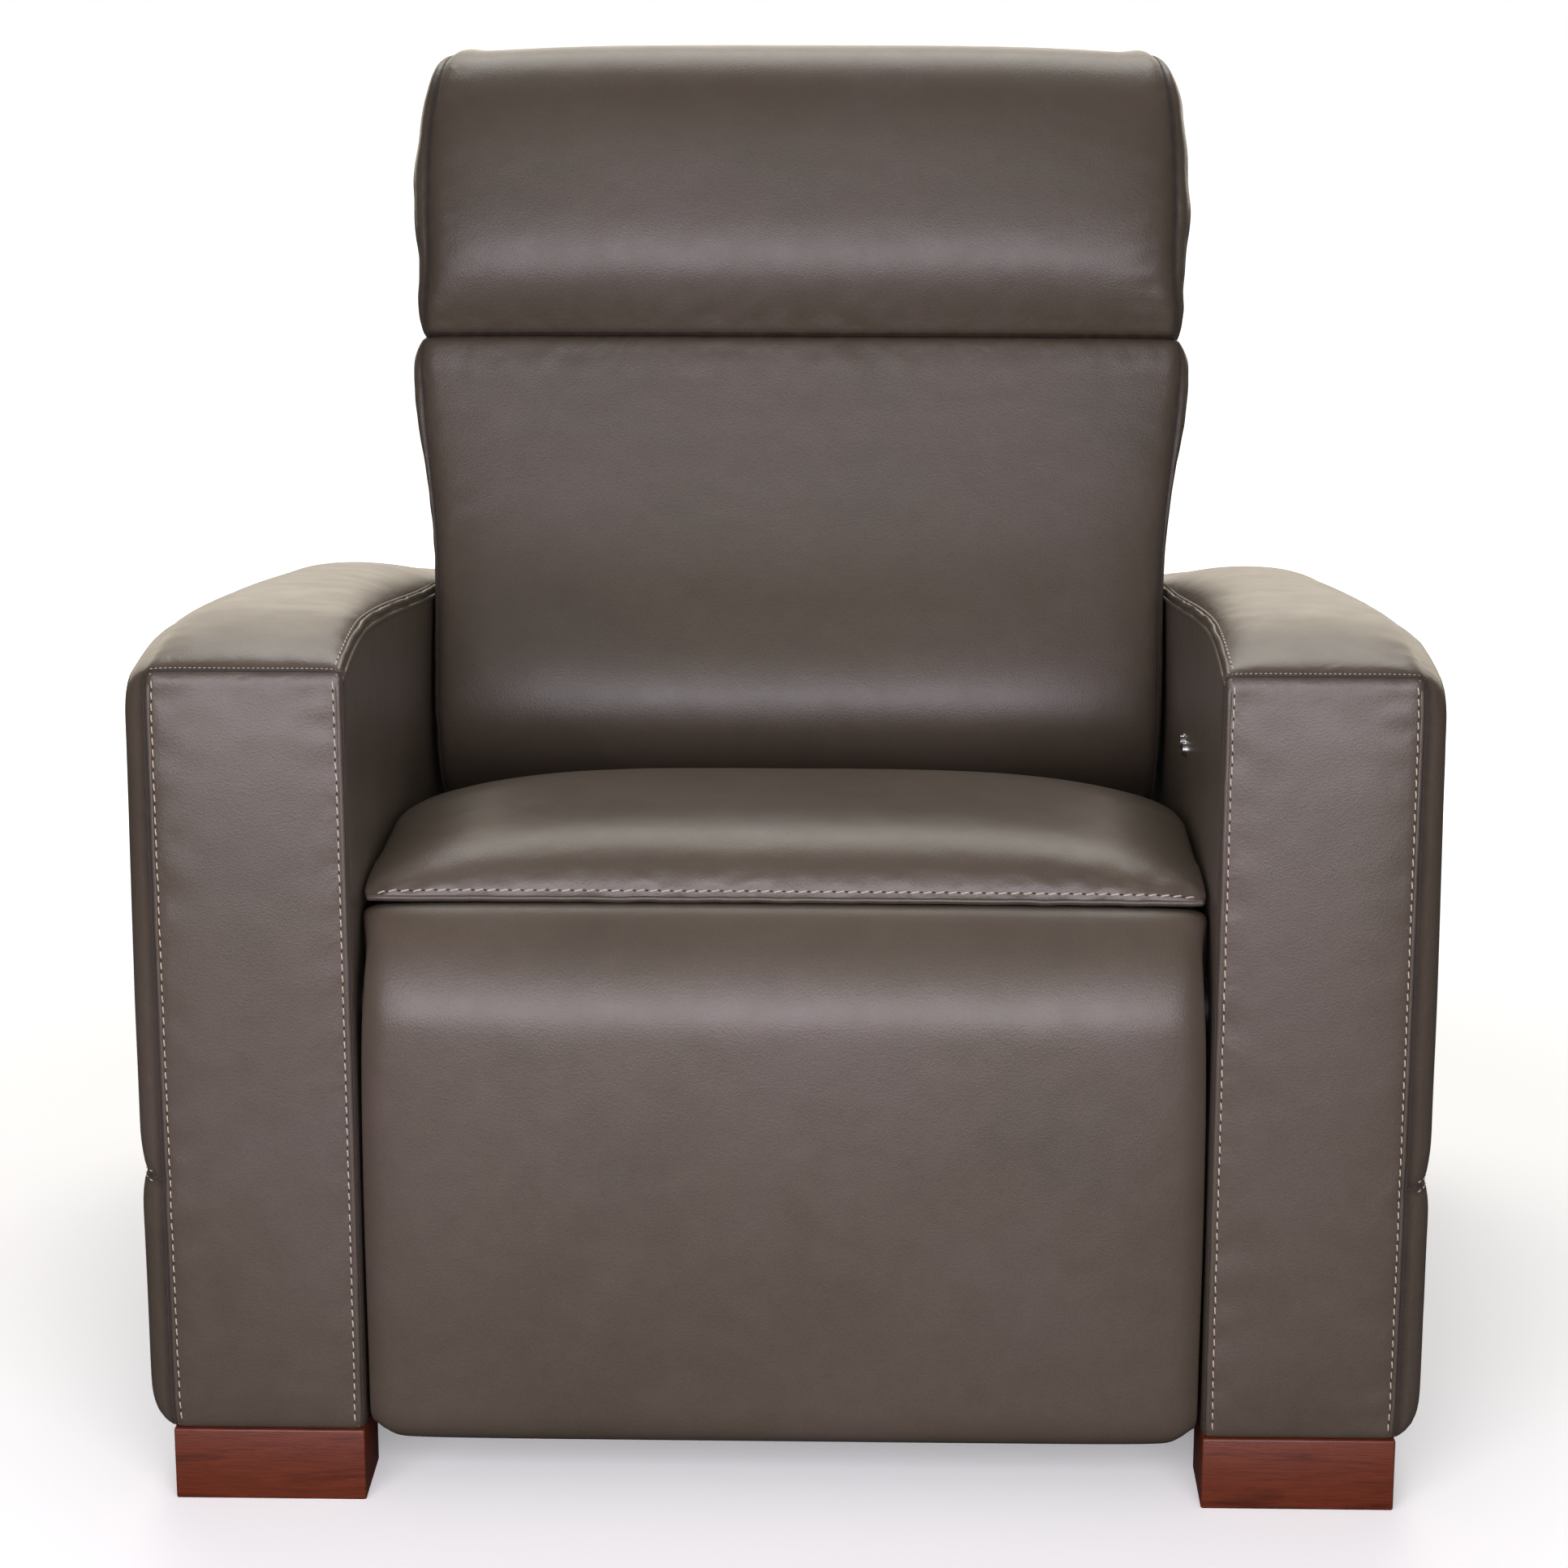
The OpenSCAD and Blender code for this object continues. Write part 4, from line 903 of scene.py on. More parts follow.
@dataclass
class StitchRow:
    """Row of single stitches, modelled once as a round-ended stitch and copied along a line."""

    pitch: float = 8.6
    length: float = 6.2
    thickness: float = 1.1
    slant: float = 5.0
    finish: Finish = Finish.BEIGE_THREAD

    CUTS: ClassVar[tuple[float, ...]] = (0.0, -0.36, 0.36)
    TIP_START: ClassVar[float] = 0.9
    TIP_SHARE: ClassVar[float] = 0.45
    TIP_DIP: ClassVar[float] = 0.75
    HOLE_LENGTH: ClassVar[float] = 0.34
    HOLE_WIDTH: ClassVar[float] = 1.25
    HOLE_DEPTH: ClassVar[float] = 0.0003

    def one(self) -> tuple[Array, list[tuple[int, ...]]]:
        """Models one stitch with its ends bent down into the leather.

        Returns:
            Its points along x in metres and its faces.
        """
        bpy.ops.object.select_all(action="DESELECT")
        bpy.ops.mesh.primitive_cylinder_add(vertices=6, radius=self.thickness / 2000.0, depth=self.length / 1000.0,
                                            rotation=(0.0, math.pi / 2.0, 0.0), end_fill_type="TRIFAN")
        stitch = bpy.context.object
        bpy.ops.object.transform_apply(location=True, rotation=True, scale=True)
        bpy.ops.object.mode_set(mode="EDIT")
        bpy.ops.mesh.select_all(action="SELECT")
        for place in self.CUTS:
            bpy.ops.mesh.bisect(plane_co=(place * self.length / 1000.0, 0.0, 0.0), plane_no=(1.0, 0.0, 0.0))
            bpy.ops.mesh.select_all(action="SELECT")
        bpy.ops.object.mode_set(mode="OBJECT")
        mesh = stitch.data
        points = np.array([v.co[:] for v in mesh.vertices])
        half = self.length / 2000.0
        reach = np.abs(points[:, 0]) / half
        points[:, 1:] *= np.where(reach > self.TIP_START, self.TIP_SHARE, 1.0)[:, None]
        points[:, 2] -= (reach ** 3) * self.thickness / 1000.0 * self.TIP_DIP
        faces = [tuple(p.vertices) for p in mesh.polygons]
        bpy.data.objects.remove(stitch)
        return points, faces

    def sew(self, name: str, body: str, rows: Sequence[Row]) -> None:
        """Copies the stitch to every place of the rows as one piece.

        Args:
            name: The piece's name.
            body: The body it rides on.
            rows: Rows of places with the ways along and out.
        """
        shape, faces = self.one()
        points, polygons = [], []
        lean = math.radians(self.slant)
        for place, ahead, out in (spot for row in rows for spot in row):
            side = out.cross(ahead).normalized()
            ahead = (ahead * math.cos(lean) + side * math.sin(lean)).normalized()
            side = out.cross(ahead).normalized()
            turn = np.array([ahead[:], side[:], ahead.cross(side).normalized()[:]])
            base = len(points)
            points.extend((shape @ turn + np.array(place[:])).tolist())
            polygons.extend(tuple(base + i for i in face) for face in faces)
        piece = new_piece(name, points, polygons, self.finish)
        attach(piece, body)
        log.info("%s: %d stitches", name, sum(len(r) for r in rows))

    def punch(self, name: str, body: str, rows: Sequence[Row]) -> None:
        """Sews the rows and sets dark marks between their stitches: painted shade in the needle holes.

        Args:
            name: The piece's name.
            body: The body it rides on.
            rows: Rows of places with the ways along and out.
        """
        # The needle holes are dark marks of painted shade, sunk a little into the leather between the stitches.
        sink = self.thickness * self.HOLE_DEPTH
        between = [[((a[0] + b[0]) / 2.0 - a[2] * sink, a[1], a[2]) for a, b in zip(row, row[1:])] for row in rows]
        holes = StitchRow(self.pitch, self.pitch * self.HOLE_LENGTH, self.thickness * self.HOLE_WIDTH, 0.0,
                          Finish.DARK_THREAD)
        holes.sew(name + "_holes", body, between)
        self.sew(name, body, rows)


@dataclass
class Piping:
    """Round cord of leather or of painted shade laid along a line, such as a welt, a fold or a seam's shadow line."""

    radius: float = 1.2
    finish: Finish = Finish.LEATHER
    sides: int = 2
    wobble: float = 0.0

    def lay(self, name: str, body: str, row: Row) -> Piece:
        """Lays the cord through a row of places.

        Args:
            name: The piece's name.
            body: The body it rides on.
            row: Places of its middle with the ways along and out.

        Returns:
            The finished piece.
        """
        bpy.ops.object.select_all(action="DESELECT")
        bpy.ops.curve.primitive_nurbs_path_add()
        path = bpy.context.object
        data = path.data
        data.splines.clear()
        spline = data.splines.new("POLY")
        spline.points.add(len(row) - 1)
        for i, (point, (place, _, _)) in enumerate(zip(spline.points, row)):
            point.co = (*place, 1.0)
            point.radius = 1.0 + self.wobble * math.sin(i * 1.7) * math.sin(i * 0.43)
        data.bevel_depth = self.radius / 1000.0
        data.bevel_resolution = self.sides
        data.use_fill_caps = True
        path.location = (0.0, 0.0, 0.0)
        path.rotation_euler = (0.0, 0.0, 0.0)
        bpy.ops.object.convert(target="MESH")
        piece = bpy.context.object
        piece.name = name
        piece.data.shade_smooth()
        FINISHES.put(piece, self.finish)
        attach(piece, body)
        return piece


@dataclass
class Arm(Cover):
    """One arm's cover: flat front panel, swelling outer side, arched top and a low side seam."""

    swell_out: float = 22.0
    side_seam_h: float = 265.0

    SEAMS: ClassVar[SeamTable] = (
        ("front_outer", (1, -1, None), 8.0, 1.0), ("front_inner", (-1, -1, None), 6.0, 0.8),
        ("front_top", (None, -1, 1), 6.0, 0.8), ("top_inner", (-1, None, 1), 8.0, 0.6, 0.5),
        ("top_outer", (1, None, 1), 9.0, 1.0, 0.55))
    HELD: ClassVar[HeldTable] = ((2, -1), (0, -1))

    def form(self, unit: Array) -> Array:
        """Gives the arm's form; see Cover.form."""
        u, v, w = unit[:, 0] * self.side, unit[:, 1], unit[:, 2]
        c = CARRY
        y = c.arm_front + (c.arm_rear - c.arm_front) * (v + 1.0) / 2.0
        top = c.arch(y)
        z = c.arm_low + (top - c.arm_low) * (w + 1.0) / 2.0
        x = c.arm_inner + (c.arm_seam - c.arm_inner) * (u + 1.0) / 2.0
        front, rear = y - c.arm_front, c.arm_rear - y
        out = self.swell_out * rounding(front, 26.0) * rounding(rear, 26.0) * rounding(top - z, 40.0) ** 0.8
        out *= 0.42 + 0.58 * rounding(z - c.arm_low, 34.0)
        out *= 0.86 + 0.14 * np.clip((top - z) / 260.0, 0.0, 1.0)
        out -= 4.0 * np.exp(-(((z - self.side_seam_h) / 13.0) ** 2)) * (out > 1.0)
        x = x + np.maximum(u, 0.0) ** 6 * out
        across = pillow(u, 4.0, 0.6)
        hump = 17.0 * smooth((v + 1.0) / 1.1) * (1.0 - smooth((v - 0.3) / 0.7))
        crown = (9.0 * across + hump * pillow(u, 2.3, 1.0)) * rounding(front, 60.0) * rounding(rear, 60.0)
        z = z - np.maximum(w, 0.0) ** 6 * 18.0 * smooth((v + 1.0) / 1.3)
        z = z + np.maximum(w, 0.0) ** 10 * crown
        bulge = 1.6 * pillow(u, 6.0, 0.6) * pillow(w, 12.0, 0.5)
        bulge += 5.0 * pillow(u, 2.5, 0.9) * (1.0 - np.exp(-np.clip(top - z, 0.0, 900.0) / 55.0)) * pillow(w, 6.0, 0.8)
        y = y - np.maximum(-v, 0.0) ** 10 * bulge + np.maximum(v, 0.0) ** 10 * 2.0 * bulge
        return np.column_stack([x * self.side, y, z])

    def sew(self) -> list[Seam]:
        """Lists the arm's seams and the low seam of its outer side."""
        return super().sew() + [Seam("side_low", self.side_row(), 9.0, 2.0, 0.7, 14.0)]

    def side_row(self) -> list[int]:
        """Finds the row of points along the low seam of the outer side."""
        share = (self.side_seam_h - CARRY.arm_low) / (CARRY.front_rise - CARRY.arm_low)
        shares = [(self.grid.unit[self.grid.index[0, 0, k], 2] + 1.0) / 2.0 for k in range(self.grid.cells[2] + 1)]
        best = int(np.abs(np.array(shares) - share).argmin())
        i = self.grid.cells[0] if self.side > 0 else 0
        return [self.grid.index[i, j, best] for j in range(self.grid.cells[1] + 1)]

    def trim(self) -> None:
        """Adds the stitches, the raised inner seam and the painted shade lines in the seams."""
        label, inward = self.name, -self.side
        fronts = (("front_outer", (inward, -0.2, 0.0)), ("front_inner", (-inward, -0.2, 0.0)))
        rows = [self.beside(seam, 8.6, way, offset=6.5, lift=0.35, cut=1) for seam, way in fronts]
        StitchRow().punch(label + "_front_stitches", self.body, rows)
        tiny = StitchRow(pitch=3.6, length=2.3, thickness=0.55, slant=3.0)
        rows = [self.beside("front_top", 3.6, (0.0, 0.3, 1.0), offset=2.6, lift=0.1, cut=1)]
        tiny.sew(label + "_top_front_stitches", self.body, rows)
        for seam, way in fronts:
            lap = self.beside(seam, 12.0, way, offset=3.3, lift=-1.5)
            Piping(2.3, sides=3, wobble=0.05).lay(f"{label}_{seam}_lap", self.body, lap)
        welt = []
        for i, (place, ahead, out) in enumerate(self.beside("top_inner", 12.0, lift=0.6)):
            sway = 2.2 + 0.8 * math.sin(i * 0.55) + 0.5 * math.sin(i * 1.31)
            welt.append((place + Vector((self.side * sway / 1000.0, 0.0, 0.0012)), ahead, out))
        Piping(2.3, sides=3, wobble=0.12).lay(label + "_top_welt", self.body, welt)
        beside_welt = self.beside("top_inner", 8.6, (self.side, 0.0, 0.35), offset=6.4, lift=0.5, cut=1)
        StitchRow().punch(label + "_welt_stitches", self.body, [beside_welt])
        lap = self.beside("top_inner", 12.0, (0.0, 0.0, -1.0), offset=4.6, lift=-0.8)
        Piping(2.0, sides=3, wobble=0.08).lay(label + "_top_lap", self.body, lap)
        rows = [self.beside("side_low", 7.0, (0.0, 0.0, way), offset=4.0, lift=0.3, cut=2) for way in (1.0, -1.0)]
        StitchRow(pitch=7.0, length=5.0, thickness=1.0).sew(label + "_side_stitches", self.body, rows)
        self.shade(("front_outer", "front_inner", "front_top", "side_low"), 0.75, label)


@dataclass
class SeatCushion(Cover):
    """Seat cushion: rolled nose over the leg rest, domed top, tail under the back."""

    half_w: float = 319.0
    nose_y: float = -385.0
    nose_z: float = 469.5
    rear_y: float = 58.0
    low_z: float = 405.0
    crest: float = 52.5

    SEAMS: ClassVar[SeamTable] = (
        ("front", (None, -1, -1), 9.0, 0.5, 0.9, 34.0), ("left", (1, None, 1), 8.0, 0.0, 0.0, 1.0),
        ("right", (-1, None, 1), 8.0, 0.0, 0.0, 1.0))
    HELD: ClassVar[HeldTable] = ((2, -1), (0, 0), (1, 1))

    def form(self, unit: Array) -> Array:
        """Gives the seat's form; see Cover.form."""
        u, v, w = unit.T
        side_rise = 12.0 + (self.crest - 12.0) * (1.0 - np.abs(u) ** 3.8) ** 0.9
        reach = 60.0 + 38.0 * (1.0 - np.abs(u) ** 2.2)
        length = self.rear_y - self.nose_y
        share = (v + 1.0) / 2.0
        bent = reach / length * 1.25
        turn = np.where(v < -0.999, (w + 1.0) / 2.0 * 0.30, 0.0)
        angle = 0.30 + 0.70 * np.clip(share / bent, 0.0, 1.0)
        angle = np.where(v < -0.999, turn, angle) * math.pi / 2.0
        arc_y = self.nose_y + reach * (1.0 - np.cos(angle) ** 0.85)
        arc_z = self.nose_z + side_rise * np.sin(angle) ** 0.85
        rest = np.clip(share - bent, 0.0, 1.0) / np.maximum(1.0 - bent, 1e-6)
        arc_y = arc_y + rest * (self.rear_y - (self.nose_y + reach))
        tail = np.clip((arc_y + 190.0) / (self.rear_y + 190.0), 0.0, 1.0) ** 1.25
        arc_z = arc_z - (62.0 - 16.0 * np.abs(u) ** 4) * tail
        drop = smooth((share - 0.20) / 0.06)
        floor_y = self.nose_y + length * share
        arch = (3.5 * pillow(u, 2.6, 0.9) + 5.0 * np.exp(-(((floor_y + 350.0) / 20.0) ** 2))) * (1.0 - drop)
        floor_z = self.nose_z - (self.nose_z - self.low_z) * drop + arch
        t = np.where(v < -0.999, 1.0, (w + 1.0) / 2.0)
        y = floor_y + (arc_y - floor_y) * t
        z = floor_z + (arc_z - floor_z) * t
        x = u * (self.half_w - 3.5 * (1.0 - rounding(z - self.nose_z + 8.0, 22.0)))
        return np.column_stack([x, y, z])

    def trim(self) -> None:
        """Adds the topstitch with its needle holes, the welt and a painted shade line under the welt."""
        up = (0.0, -0.15, 1.0)
        StitchRow(pitch=9.4, length=7.0, thickness=1.2, slant=12.0).punch("seat_top_stitches", self.body, [
            self.beside("front", 9.4, up, offset=8.5, lift=0.4, cut=1)])
        welt = self.beside("front", 8.0, up, offset=2.2, lift=0.1)
        Piping(1.9, sides=3, wobble=0.06).lay("seat_front_welt", self.body, welt)
        # A thin dark line of painted shade, just under the welt.
        shade = [(place + Vector((0.0, -0.0002, -0.0019)), ahead, out) for place, ahead, out in welt]
        Piping(0.7, Finish.DARK_THREAD, sides=1).lay("seat_front_line", self.body, shade)


@dataclass
class LegPad(Cover):
    """Leg rest's cover: quarter round at the top, gently swelling face, rounded foot."""

    half_w: float = 317.0
    reach: float = 80.0
    low_z: float = 49.5

    SEAMS: ClassVar[SeamTable] = (("top", (None, -1, 1), 8.0, 0.0, 0.0, 1.0),)
    HELD: ClassVar[HeldTable] = ((1, 1), (0, 0), (2, 0))

    def form(self, unit: Array) -> Array:
        """Gives the leg pad's form; see Cover.form."""
        u, v, w = unit.T
        py, pz = CARRY.leg_pivot
        arc = self.reach * math.pi / 2.0
        run = pz - self.low_z
        s = (1.0 - (w + 1.0) / 2.0) * (arc + run + 12.0) - 12.0
        turn = np.minimum(s / arc, 1.0) * math.pi / 2.0
        down = np.clip(s - arc, 0.0, run)
        top = 1.0 - smooth((turn - 0.16) / 0.5)
        round_r = curve([0.0, 0.12, 0.23, 0.3, 0.6, 0.85, 1.1, 1.35, 1.5708],
                        [0.5, 2.0, 8.6, 10.0, 6.8, 3.4, 1.0, 0.0, -0.5], turn)
        depth = (self.reach + round_r + 2.0 * top * pillow(u, 2.6, 0.9)) * (1.0 - v) / 2.0
        half = curve([-12.0, 2.0, 13.0, 26.0, 44.0, 80.0, 146.0, 250.0, 400.0],
                     [315.0, 319.0, 319.8, 318.0, 314.5, 314.5, 317.0, 318.5, 318.0], s)
        foot = rounding(run - down, 30.0)
        depth_now = depth * (0.80 + 0.20 * foot)
        y = py - depth_now * np.sin(turn)
        z = pz + depth_now * np.cos(turn) - down
        y = np.where(s > arc, py - depth_now, y)
        edge = np.maximum(-v, 0.0) ** 4
        face = pillow(u, 14.0, 0.5)
        swell_out = 8.0 * pillow(u, 4.0, 0.8) * pillow((s - arc - run * 0.42) / (run * 0.66), 2.0, 1.0)
        inset = (13.0 - 8.5 * top) * (1.0 - face) * edge
        y = y + np.sin(turn) * (inset - swell_out * edge)
        z = z - np.cos(turn) * inset * np.where(s <= arc, 1.0, 0.0)
        corner = np.clip((np.abs(u) - 0.93) / 0.07, 0.0, 1.0)
        z = z + 13.0 * corner ** 2 * (1.0 - rounding(run - down, 24.0))
        x = u * half + np.sign(u) * np.abs(u) ** 20 * 1.5 * pillow(v, 2.0, 0.5)
        x = x - np.sign(u) * 9.0 * corner ** 2 * (1.0 - rounding(run - down, 26.0))
        return np.column_stack([x, y, z])


@dataclass
class BackCushion(Cover):
    """Lower back cushion: face swelling above its foot, side gussets, drawn in at the crease."""

    rear: float = 17.0
    low: float = 98.0
    high: float = 513.0

    SEAMS: ClassVar[SeamTable] = (
        ("left", (1, -1, None), 8.0, 1.2, 0.8), ("right", (-1, -1, None), 8.0, 1.2, 0.8),
        ("crease", (None, -1, 1), 6.0, 0.4, 0.9, 30.0))
    HELD: ClassVar[HeldTable] = ((1, 1), (2, 0))

    def form(self, unit: Array) -> Array:
        """Gives the back cushion's form; see Cover.form."""
        u, v, w = unit.T
        up = (w + 1.0) / 2.0
        h = self.low + (self.high - self.low) * up
        half = curve([98, 112, 130, 250, 330, 386, 430, 470, 500, 513],
                     [312, 315, 315.5, 317, 320, 326, 331, 334, 335, 332], h)
        low_h = h - 20.0 * np.abs(u) ** 3 * (1.0 - w * w)
        front = curve([98, 110, 122, 140, 160, 185, 215, 250, 315, 400, 470, 500, 509, 513],
                      [-68, -92, -112, -130, -141, -146.5, -147, -142, -131, -125, -123, -122.5, -121.5, -119], low_h)
        depth = self.rear + (front - self.rear) * (1.0 - v) / 2.0
        edge = np.maximum(-v, 0.0) ** 6
        across = pillow(u, 5.0, 0.55)
        drop = curve([111, 480, 513], [13.0, 13.0, 9.0], h) * (1.0 - across) * edge
        puff = 8.0 * across * edge * curve([111, 190, 300, 513], [0.1, 1.0, 0.2, 0.1], h)
        out = curve([111, 200, 330, 400, 440, 475, 500, 513], [1.0, 2.5, 3.0, 5.0, 8.5, 9.5, 6.0, 0.5], h)
        x = u * half + np.sign(u) * np.abs(u) ** 20 * out * pillow(v, 3.0, 0.6)
        local = np.column_stack([x, depth + drop - puff, h])
        return CARRY.at_back(local)

    def trim(self) -> None:
        """Adds painted shade lines in the side seams and gives the cover and the lines their own mesh data."""
        for soft in [self.piece, *self.shade(("left", "right"), 0.7, "back", cut=2)]:
            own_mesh(soft)


@dataclass
class Headrest(Cover):
    """Headrest pillow: full face, rounded top, side gussets and pinched lower corners."""

    low: float = 512.5
    high: float = 775.0

    SEAMS: ClassVar[SeamTable] = (
        ("left", (1, -1, None), 8.0, 1.6, 0.9, 34.0), ("right", (-1, -1, None), 8.0, 1.6, 0.9, 34.0),
        ("crease", (None, -1, -1), 6.0, 0.4, 0.9, 34.0))
    HELD: ClassVar[HeldTable] = ((1, 1), (2, -1))

    def form(self, unit: Array) -> Array:
        """Gives the headrest's form; see Cover.form."""
        u, v, w = unit.T
        up = (w + 1.0) / 2.0
        h = self.low + (self.high - self.low) * up
        half = curve([512, 530, 560, 629, 700, 735, 757, 775], [331, 332, 328, 327, 325, 321, 317, 311], h)
        low_h = h + 18.0 * np.abs(u) ** 3 * (1.0 - w * w)
        front = curve([512, 516, 522, 530, 545, 560, 580, 600, 630, 660, 690, 715, 735, 750, 760, 767, 772, 775],
                      [-118, -121, -124, -128.5, -136, -142.5, -149, -153.5, -157.5, -159, -158, -154, -147.5, -138.5,
                       -127.5, -113, -95, -76], low_h)
        rear = curve([514, 620, 735, 762, 775], [18.0, 18.0, 18.0, 8.0, -8.0], h)
        depth = rear + (front - rear) * (1.0 - v) / 2.0
        edge = np.maximum(-v, 0.0) ** 6
        across = pillow(u, 5.0, 0.55)
        drop = curve([512, 545, 793], [8.0, 12.0, 12.0], h) * (1.0 - across) * edge
        puff = 7.0 * across * edge * curve([512, 560, 640, 740, 775], [0.2, 1.0, 0.4, 0.5, 0.3], h)
        wave = 1.0 + 0.08 * np.sin(h / 19.0 + 0.6 * np.sign(u)) + 0.04 * np.sin(h / 8.3 + 2.0 * np.sign(u))
        out = curve([512, 540, 580, 629, 700, 740, 762, 775], [2.0, 8.0, 13.0, 15.5, 14.0, 10.0, 5.0, 1.0], h) * wave
        x = u * half + np.sign(u) * np.abs(u) ** 20 * out * pillow(v, 3.0, 0.6)
        crown = 4.0 * pillow(u, 3.0, 0.7) * np.maximum(w, 0.0) ** 12
        sag = -4.0 * np.abs(u) ** 4 * np.maximum(w, 0.0) ** 4
        ear = 5.0 * np.exp(-(((np.abs(u) - 0.965) / 0.035) ** 2)) * np.maximum(w, 0.0) ** 10
        local = np.column_stack([x, depth + drop - puff, h + crown + sag + ear])
        return CARRY.at_back(local)

    def trim(self) -> None:
        """Adds painted shade lines in the side seams."""
        self.shade(("left", "right"), 1.0, "head")


@dataclass
class RearPanel(Cover):
    """Leather over a board at the seat's rear, with a welted edge and a row of stitches inside it."""

    fill: float = 0.9
    gather: float = 0.01
    edge_share: float = 0.3
    half: float = 300.0
    low: float = 0.0
    high: float = 100.0
    near: float = 0.0
    far: float = 15.0
    round_top: float = 10.0
    swell_out: float = 6.0
    leaning: bool = True

    SEAMS: ClassVar[SeamTable] = tuple((name, edge, 7.0, 0.7, 0.7, 20.0) for name, edge in (
        ("left", (-1, 1, None)), ("right", (1, 1, None)), ("top", (None, 1, 1))))

    def form(self, unit: Array) -> Array:
        """Gives the panel's form; see Cover.form."""
        u, v, w = unit.T
        up = (w + 1.0) / 2.0
        h = self.low + (self.high - self.low) * up
        half = self.half - self.round_top * (1.0 - rounding(self.high - h, self.round_top * 1.2))
        puff = self.swell_out * pillow(u, 6.0, 0.6) * pillow(w, 8.0, 0.6) * np.maximum(v, 0.0) ** 6
        depth = self.near + (self.far - self.near) * (v + 1.0) / 2.0 + puff
        local = np.column_stack([u * half, depth, h])
        return CARRY.at_back(local) if self.leaning else local

    def held(self) -> list[int]:
        """Holds all but the rear face."""
        return np.nonzero(self.grid.unit[:, 1] < 0.999)[0].tolist()

    def trim(self) -> None:
        """Adds the stitches and the painted shade lines in the seams."""
        ways = {"left": (1.0, 0.0, 0.0), "right": (-1.0, 0.0, 0.0), "top": (0.0, 0.0, -1.0)}
        rows = [self.beside(seam, 8.6, way, offset=7.5, lift=0.35, cut=2) for seam, way in ways.items()]
        self.shade(tuple(ways), 0.75, self.name, 12.0)
        StitchRow().punch(self.name + "_stitches", self.body, rows)


class CreaseGusset:
    """Folded leather band inside the crease, made at rest with its folds; on the real seat it opens like a bellows when
    the headrest tips forwards.
    """

    def outline(self, inset: float) -> Array:
        """Gives the band's outline seen along the back.

        Args:
            inset: How far it lies inside the full outline.

        Returns:
            Rows of x and depth in millimetres, once around.
        """
        wide, slim, front, step, rear = 318.0 - inset, 292.0 - inset, -101.0 + inset, 8.0, 66.0 - inset
        right = [(wide, front), (wide, step), (slim, step + 8.0), (slim, rear)]
        left = [(-x, depth) for x, depth in reversed(right)]
        corners = np.array([left[-1], *right, *left])
        counts = (70, 12, 3, 6, 64, 6, 3, 12)
        legs = [np.linspace(a, b, n, endpoint=False) for a, b, n in zip(corners[:-1], corners[1:], counts)]
        return np.vstack(legs)

    def build(self) -> None:
        """Makes the band and spreads it between the back and the headrest."""
        heights = [488.0, 500.0, 507.0] + [509.0 + 0.5 * i for i in range(17)] + [520.0, 530.0]
        loops = []
        for number, height in enumerate(heights):
            fold = 1.6 * (-1.0) ** number if 509.0 <= height <= 517.0 else 0.0
            for inset in (fold, 3.0 + fold):
                ring = self.outline(inset + 2.0)
                loops.append(CARRY.at_back(np.column_stack([ring, np.full(len(ring), height)])) / 1000.0)
        count = len(loops[0])
        last = 2 * (len(heights) - 1) * count
        sides = [(k, (k + 1) % count) for k in range(count)]
        quads = []
        for low, (a, b) in product(range(0, last, 2 * count), sides):
            high = low + 2 * count
            quads.append((low + a, low + b, high + b, high + a))
            quads.append((low + count + b, low + count + a, high + count + a, high + count + b))
        for a, b in sides:
            quads.append((a, count + a, count + b, b))
            quads.append((last + a, last + b, last + count + b, last + count + a))
        piece = new_piece("crease_gusset", np.vstack(loops).tolist(), quads, Finish.LEATHER)
        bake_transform(piece)


@dataclass
class TuckFlap:
    """Leather flap from the seat's tail to the foot of the back, that closes the gap when the back reclines."""

    half_w: float = 306.0
    thick: float = 2.4

    def build(self) -> None:
        """Makes the flap and spreads it between the base and the back."""
        line = densify(np.array([[0.0, 44.0, 432.0], [0.0, 60.0, 424.0], [0.0, 78.0, 419.0], [0.0, 96.0, 424.0],
                                 [0.0, 116.0, 432.0]]), 6.0)
        grid = BoxGrid((44, len(line) - 1, 1), 0.0)
        unit = (grid.unit + 1.0) / 2.0
        rows = np.rint(unit[:, 1] * (len(line) - 1)).astype(int)
        lift = self.thick * unit[:, 2]
        points = np.column_stack([self.half_w * grid.unit[:, 0], line[rows, 1], line[rows, 2] + lift])
        piece = new_piece("tuck_flap", (points / 1000.0).tolist(), grid.quads, Finish.LEATHER)
        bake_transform(piece)


@dataclass
class Foot:
    """Block foot of stained wood with softened edges."""

    name: str
    node: str
    soft: float = 1.6

    def build(self) -> None:
        """Makes the foot from a box at the node's place."""
        low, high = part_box(self.node)
        bpy.ops.object.select_all(action="DESELECT")
        bpy.ops.mesh.primitive_cube_add(size=1.0, location=(low + high) / 2.0, scale=(high - low))
        foot = bpy.context.object
        foot.name = self.name
        bpy.ops.object.transform_apply(location=True, rotation=True, scale=True)
        bpy.ops.object.mode_set(mode="EDIT")
        bpy.ops.mesh.select_all(action="SELECT")
        bpy.ops.mesh.bevel(offset=self.soft / 1000.0, segments=3, affect="EDGES")
        bpy.ops.object.mode_set(mode="OBJECT")
        bpy.ops.object.shade_smooth_by_angle(angle=math.radians(35.0))
        FINISHES.put(foot, Finish.FOOT_WOOD)
        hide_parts(self.node)
        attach(foot, "base")


